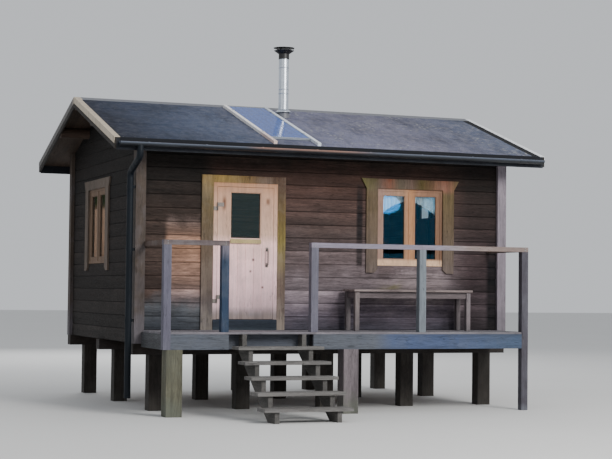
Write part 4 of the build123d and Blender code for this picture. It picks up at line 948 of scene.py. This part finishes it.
def weave(name, shade, holes):
    """Material of a cloth on its UV map: threads one over the other, and round holes in rows for lace."""
    material, place = begin(name)
    cloth = place.node.outputs["UV"]
    threads = put("TexChecker", {"Vector": cloth, "Scale": 900.0}).outputs["Fac"]
    soft = noise(cloth, 14.0, 4.0)
    colour = shade_by(shade, fade(soft, 0.3, 0.7, 0.86, 1.08))
    colour = shade_by(colour, fade(threads, 0.0, 1.0, 0.94, 1.04))
    plain = {}
    if holes:
        leaves = fade(noise(cloth, 34.0, 2.0), 0.48, 0.54)
        plain["Alpha"] = calc("MAXIMUM", fade(cells(cloth, 150.0)["Distance"], 0.24, 0.34), leaves)
    close(colour, 0.9, threads, 0.0003, Sheen_Weight=0.2, **plain)
    return material


front_rod, gable_rod, front_rod_z, gable_rod_z = -0.9135, 2.7085, 3.066, 2.84
rod_ends = [[(end, front_rod, front_rod_z), (-gable_rod, end, gable_rod_z), (gable_rod, end, gable_rod_z)]
            for end in (0.797, 1.763)]
steel_rods = add(rods("curtain_rods", *rod_ends, 0.0045), zinc)


def arches(u):
    """Drop of the valance: least at the mullion, most at both sides, with small scallops along the hem."""
    return 0.10 + 0.23 * np.abs(2 * u - 1) ** 1.6 + 0.012 * np.abs(np.sin(pi * 14 * u))


def even_drop(u):
    """Drop of a café curtain: the same all along the rod."""
    return np.full_like(u, 0.768)


lace = weave("white_lace", (246, 247, 248), True)
tan_cloth = weave("tan_curtain_cloth", (206, 160, 134), False)
cloth_start, cloth_end, valance_top, curtain_top = 0.800, 1.760, 3.0715, 2.8455
piece, flat, area = hanging("lace_valance", (cloth_start, front_rod, valance_top), (cloth_end, front_rod, valance_top),
                            (0, -1, 0), arches, 17, 0.010, 0.6, 14)
add(piece, lace)
for name, side in gables:
    start, end = ((side * gable_rod, y, curtain_top) for y in (cloth_start, cloth_end))
    piece, flat, area = hanging(f"{name}_curtain", start, end, (side, 0, 0), even_drop, 15, 0.011, 0.75, 12)
    add(piece, tan_cloth)

# Deck. Pressure-treated boards gone pale grey, laid along the cabin with open gaps, butted over a joist and screwed
# down. The first board is cut back for the rail's corner posts, and the last one for the wall's left post.
deck_low, deck_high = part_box("deck_floor")
deck_rows, gap, rail_post_notch, wall_post_notch, screw_inset = 8, 0.006, 0.102, 0.041, 0.03
width = (deck_high.y - deck_low.y - gap * (deck_rows - 1)) / deck_rows
joist_x = [-2.7075, -1.8605, -0.6245, 0.1785, 0.9815, 1.7845, 2.5875]
boxes, screw_places = [], []
for number in range(deck_rows):
    start = deck_low.y + number * (width + gap)
    left = deck_low.x + rail_post_notch * (number == 0) + wall_post_notch * (number == deck_rows - 1)
    right = deck_high.x - rail_post_notch * (number == 0)
    joint = joist_x[4] if number % 2 else joist_x[2]
    lift = chance.uniform(-0.0012, 0.0, 2)
    boxes += [((x_low, start, deck_low.z), (x_high, start + width, deck_high.z + top))
              for x_low, x_high, top in ((left, joint - 0.001, lift[0]), (joint + 0.001, right, lift[1]))]
    screw_places += [(x, y, deck_high.z + lift.min()) for x in joist_x[1:-1]
                     for y in (start + screw_inset, start + width - screw_inset)]
deck_wood = timber("grey_deck_boards", (108, 104, 110), ALONG_X, 0.24, (104, 105, 110), 0.0, 0.1, 0.5, deep=0.0018,
                   rough=(0.6, 0.9))
deck_piece = add(boards("deck_boards", boxes, 0, 0.003), deck_wood)
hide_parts("deck_floor")
add(studs("deck_screws", screw_places, (0, 0, 1), 0.0042, 0.0008), zinc)
dress(timber("grey_deck_joists", (66, 66, 70), ALONG_Y, 0.3, (80, 84, 86), 0.8, 0.2), "deck_joists")
fascia_shade = ("X", 0.2, 0.6, (80, 84, 92), ("X", 1.4, 2.4, (66, 79, 108), (62, 76, 98)))
dress(timber("blue_grey_fascia", fascia_shade, ALONG_X, 0.2, (78, 84, 98), 0.8, 0.1, 0.35, deep=0.0018),
      "deck_fascias", "deck_beams")
pier_shade = ("X", -1.6, -0.9, (92, 90, 75), (104, 96, 100))
dress(timber("deck_pier_timber", pier_shade, ALONG_Z, 0.3, (92, 96, 86), 0.0, 0.4, 0.35, deep=0.0022), "deck_piers")

# Railing. Square sawn posts, each weathered its own way, with a planed rail on edge that is housed into their tops
# and held there with bolts.
rail_shade = ("X", -1.3, -1.2, (88, 77, 78), ("X", 1.1, 1.8, (131, 125, 140), (130, 115, 110)))
dress(timber("handrail_timber", ("Y", -1.98, -1.99, (84, 68, 60), rail_shade), ALONG_X, 0.16, (140, 134, 134), 0.0,
             0.1, 0.3, deep=0.0012), "handrails")
blue_post = ("Z", 2.0, 2.2, (40, 57, 80), (108, 103, 117))
post_shade = ("X", -1.0, -0.9, ("X", -2.3, -2.2, (94, 92, 107), blue_post),
              ("X", [(-0.9, 94, 92, 104), (0.3, 108, 115, 122), (1.8, 70, 67, 75),
                     (2.7, 70, 67, 75)], "CONSTANT"))
dress(timber("rail_post_timber", post_shade, ALONG_Z, 0.16, (100, 102, 110), 0.0, 0.1, 0.25, deep=0.002), "rail_posts")
post_face, bolt_levels = -2.085, (2.243, 2.272)
bolts = [(x, post_face, z) for x in (-2.68, -1.892, -0.635, 0.9625, 2.56) for z in bolt_levels]
add(studs("rail_bolts", bolts, (0, -1, 0), 0.008, 0.004, 12), zinc)

# Stair and bench. Thick weathered treads screwed to cut stringers, and a plain bench of three planks on four legs
# with aprons between them.
dress(timber("stair_tread_timber", (108, 106, 104), ALONG_X, 0.26, (104, 102, 102), 0.0, 0.1, 0.5, deep=0.0022),
      "stair_treads")
dress(timber("stringer_timber", (86, 84, 82), ALONG_Y, 0.26, (92, 90, 88), 0.0, 0.2, 0.5, deep=0.0022),
      "stair_stringers")
first_nosing, going, riser = -3.365, 0.25, 0.1825
tread_screws = [(x, first_nosing + going * step + back, riser * (step + 1) - 0.0001)
                for step in range(5) for back in (0.06, 0.2) for x in (-1.619, -0.781)]
add(studs("tread_screws", tread_screws, (0, 0, 1), 0.0042, 0.0008), zinc)
bench_low, bench_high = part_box("bench")
bench_x, bench_y = (bench_low.x + bench_high.x) / 2, (bench_low.y + bench_high.y) / 2
plank_under, reach, span, leg, board = bench_high.z - 0.032, 0.8675, 0.1575, 0.0325, 0.016
apron_foot, gap = plank_under - 0.09, 0.0028
planks = np.linspace(bench_low.y, bench_high.y, 4)
bench_wood = timber("bench_timber", (136, 122, 120), ALONG_X, 0.24, (124, 113, 112), deck_top, 0.1, 0.4, deep=0.0015)
boxes = [((bench_low.x, near + gap * (k > 0), plank_under), (bench_high.x, far - gap * (k < 2), bench_high.z))
         for k, (near, far) in enumerate(zip(planks, planks[1:]))]
plank_piece = add(boards("bench_planks", boxes, 0, 0.004), bench_wood)
legs = [(bench_x + i * reach, bench_y + j * span) for i in (-1, 1) for j in (-1, 1)]
# The legs are lighter on the left, and the back legs are darker as painted shade under the planks.
leg_shade = ("X", bench_x - 0.1, bench_x + 0.1, (128, 117, 116), (108, 99, 102))
leg_wood = timber("bench_leg_timber", ("Y", bench_y - 0.02, bench_y + 0.02, leg_shade, (90, 82, 84)), ALONG_Z, 0.24,
                  (96, 92, 94), deck_top, 0.15, 0.4, deep=0.0015)
boxes = [((x - leg, y - leg, bench_low.z), (x + leg, y + leg, plank_under)) for x, y in legs]
add(boards("bench_legs", boxes, 2, 0.003), leg_wood)
apron_wood = timber("bench_apron_timber", (106, 96, 98), ALONG_X, 0.24, (96, 88, 90), deck_top, 0.1, 0.4, deep=0.0015)
boxes = [((bench_x - reach + leg, y - board, apron_foot), (bench_x + reach - leg, y + board, plank_under))
         for y in (bench_y - span, bench_y + span)]
add(boards("bench_aprons", boxes, 0, 0.002), apron_wood)
boxes = [((x - board, bench_y - span + leg, apron_foot), (x + board, bench_y + span - leg, plank_under))
         for x in (bench_x - reach, bench_x + reach)]
add(boards("bench_end_aprons", boxes, 1, 0.002), apron_wood)
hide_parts("bench")
bench_screws = [(bench_x + i * reach, y + back, bench_high.z - 0.0001)
                for i in (-1, 0, 1) for y in planks[:3] for back in (0.03, 0.11)]
add(studs("bench_screws", bench_screws, (0, 0, 1), 0.0042, 0.0006), zinc)

# Studio. A pale floor, a pale sky that lights evenly, one broad lamp from the front right, a weak one from the left,
# and one from behind that gives no reflections. Two small lamps glint in the front window, and a dark card shows
# only in the left window's reflections.
reach = 90.0
corners = [(-reach, -reach, 0), (reach, -reach, 0), (reach, reach, 0), (-reach, reach, 0)]
studio_floor = mesh_piece("studio_floor", np.array(corners), [(0, 1, 2, 3)])
material, place = begin("pale_floor")
close(mix(noise(place, 0.4), (206, 206, 205), (212, 212, 211)), 0.9)
studio_floor.data.materials.append(material)
corners = [(-5.0, 8.0, 1.7), (-3.8, 8.0, 1.7), (-3.8, 8.0, 3.9), (-5.0, 8.0, 3.9)]
dark_card = mesh_piece("dark_card", np.array(corners), [(0, 1, 2, 3)])
material, place = begin("card_cloth")
card_shade = shaded(axes(place), ("Z", 3.1, 3.3, (188, 146, 118), (52, 62, 36)))
close(shade_by(card_shade, fade(noise(place, 2.0), 0.3, 0.7, 0.8, 1.1)), 1.0)
dark_card.data.materials.append(material)
dark_card.visible_camera = dark_card.visible_diffuse = dark_card.visible_shadow = False

world = bpy.data.worlds.new("studio")
bpy.context.scene.world = world
world.use_nodes = True
sky = world.node_tree.nodes["Background"].inputs
sky["Color"].default_value, sky["Strength"].default_value = (0.87, 0.90, 0.94, 1), 0.75


def lamp(name, place, aim, power, size, colour=(1, 1, 1), tall=None):
    """Soft lamp at a place, turned to a point, square, or an ellipse where its height is given. Gives its object."""
    light = bpy.data.lights.new(name, "AREA")
    light.energy, light.size, light.color = power, size, colour
    if tall:
        light.shape, light.size_y = "ELLIPSE", tall
    holder = placed(name, light)
    holder.location = place
    holder.rotation_euler = (Vector(aim) - Vector(place)).to_track_quat("-Z", "Y").to_euler()
    return holder


cabin_middle = (0, 0, 2.0)
lamp("key_lamp", (5.0, -16.5, 11.0), cabin_middle, 3400.0, 7.0, (1.0, 0.98, 0.95))
lamp("fill_lamp", (-15.0, -9.0, 7.0), cabin_middle, 120.0, 8.0)
lamp("back_lamp", (2.0, 17.0, 9.0), cabin_middle, 1300.0, 8.0).visible_glossy = False
lamp("left_glint_lamp", (4.83, -9.5, 3.42), (0.90, -0.957, 2.9), 6.0, 0.52, (0.35, 0.7, 1.0), 0.36)
lamp("right_glint_lamp", (5.81, -9.5, 3.46), (1.62, -0.957, 2.9), 0.7, 0.3, (0.1, 0.9, 1.0), 0.36)

# Camera. It stands where the photograph was taken from and is turned as that camera was, and then on to the cabin's
# middle in the picture, with a longer lens so that the cabin fills the view.
stand = Vector((-8.3624, -21.3333, 1.6582))
yaw, tilt, roll = radians(22.657), radians(8.403), radians(0.576)
photo_wide, photo_tall, photo_focus = 612, 459, 383.126
ahead = Vector((sin(yaw) * cos(tilt), cos(yaw) * cos(tilt), -sin(tilt)))
level = Vector((cos(yaw), -sin(yaw), 0))
above = level.cross(ahead)
aside, above = level * cos(roll) + above * sin(roll), above * cos(roll) - level * sin(roll)
aim_u, aim_v, longer = 299.0, 157.5, 4.05
towards = ahead + aside * ((aim_u - photo_wide / 2) / photo_focus) - above * ((aim_v - photo_tall / 2) / photo_focus)
towards.normalize()
aside = (aside - towards * aside.dot(towards)).normalized()
above = (-towards).cross(aside)
lens = bpy.data.cameras.new("camera")
lens.sensor_width = 36.0
lens.lens = photo_focus * longer / photo_wide * lens.sensor_width
lens.clip_end = 400.0
camera = placed("camera", lens)
camera.matrix_world = Matrix.Translation(stand) @ Matrix((aside, above, -towards)).transposed().to_4x4()
bpy.context.scene.camera = camera
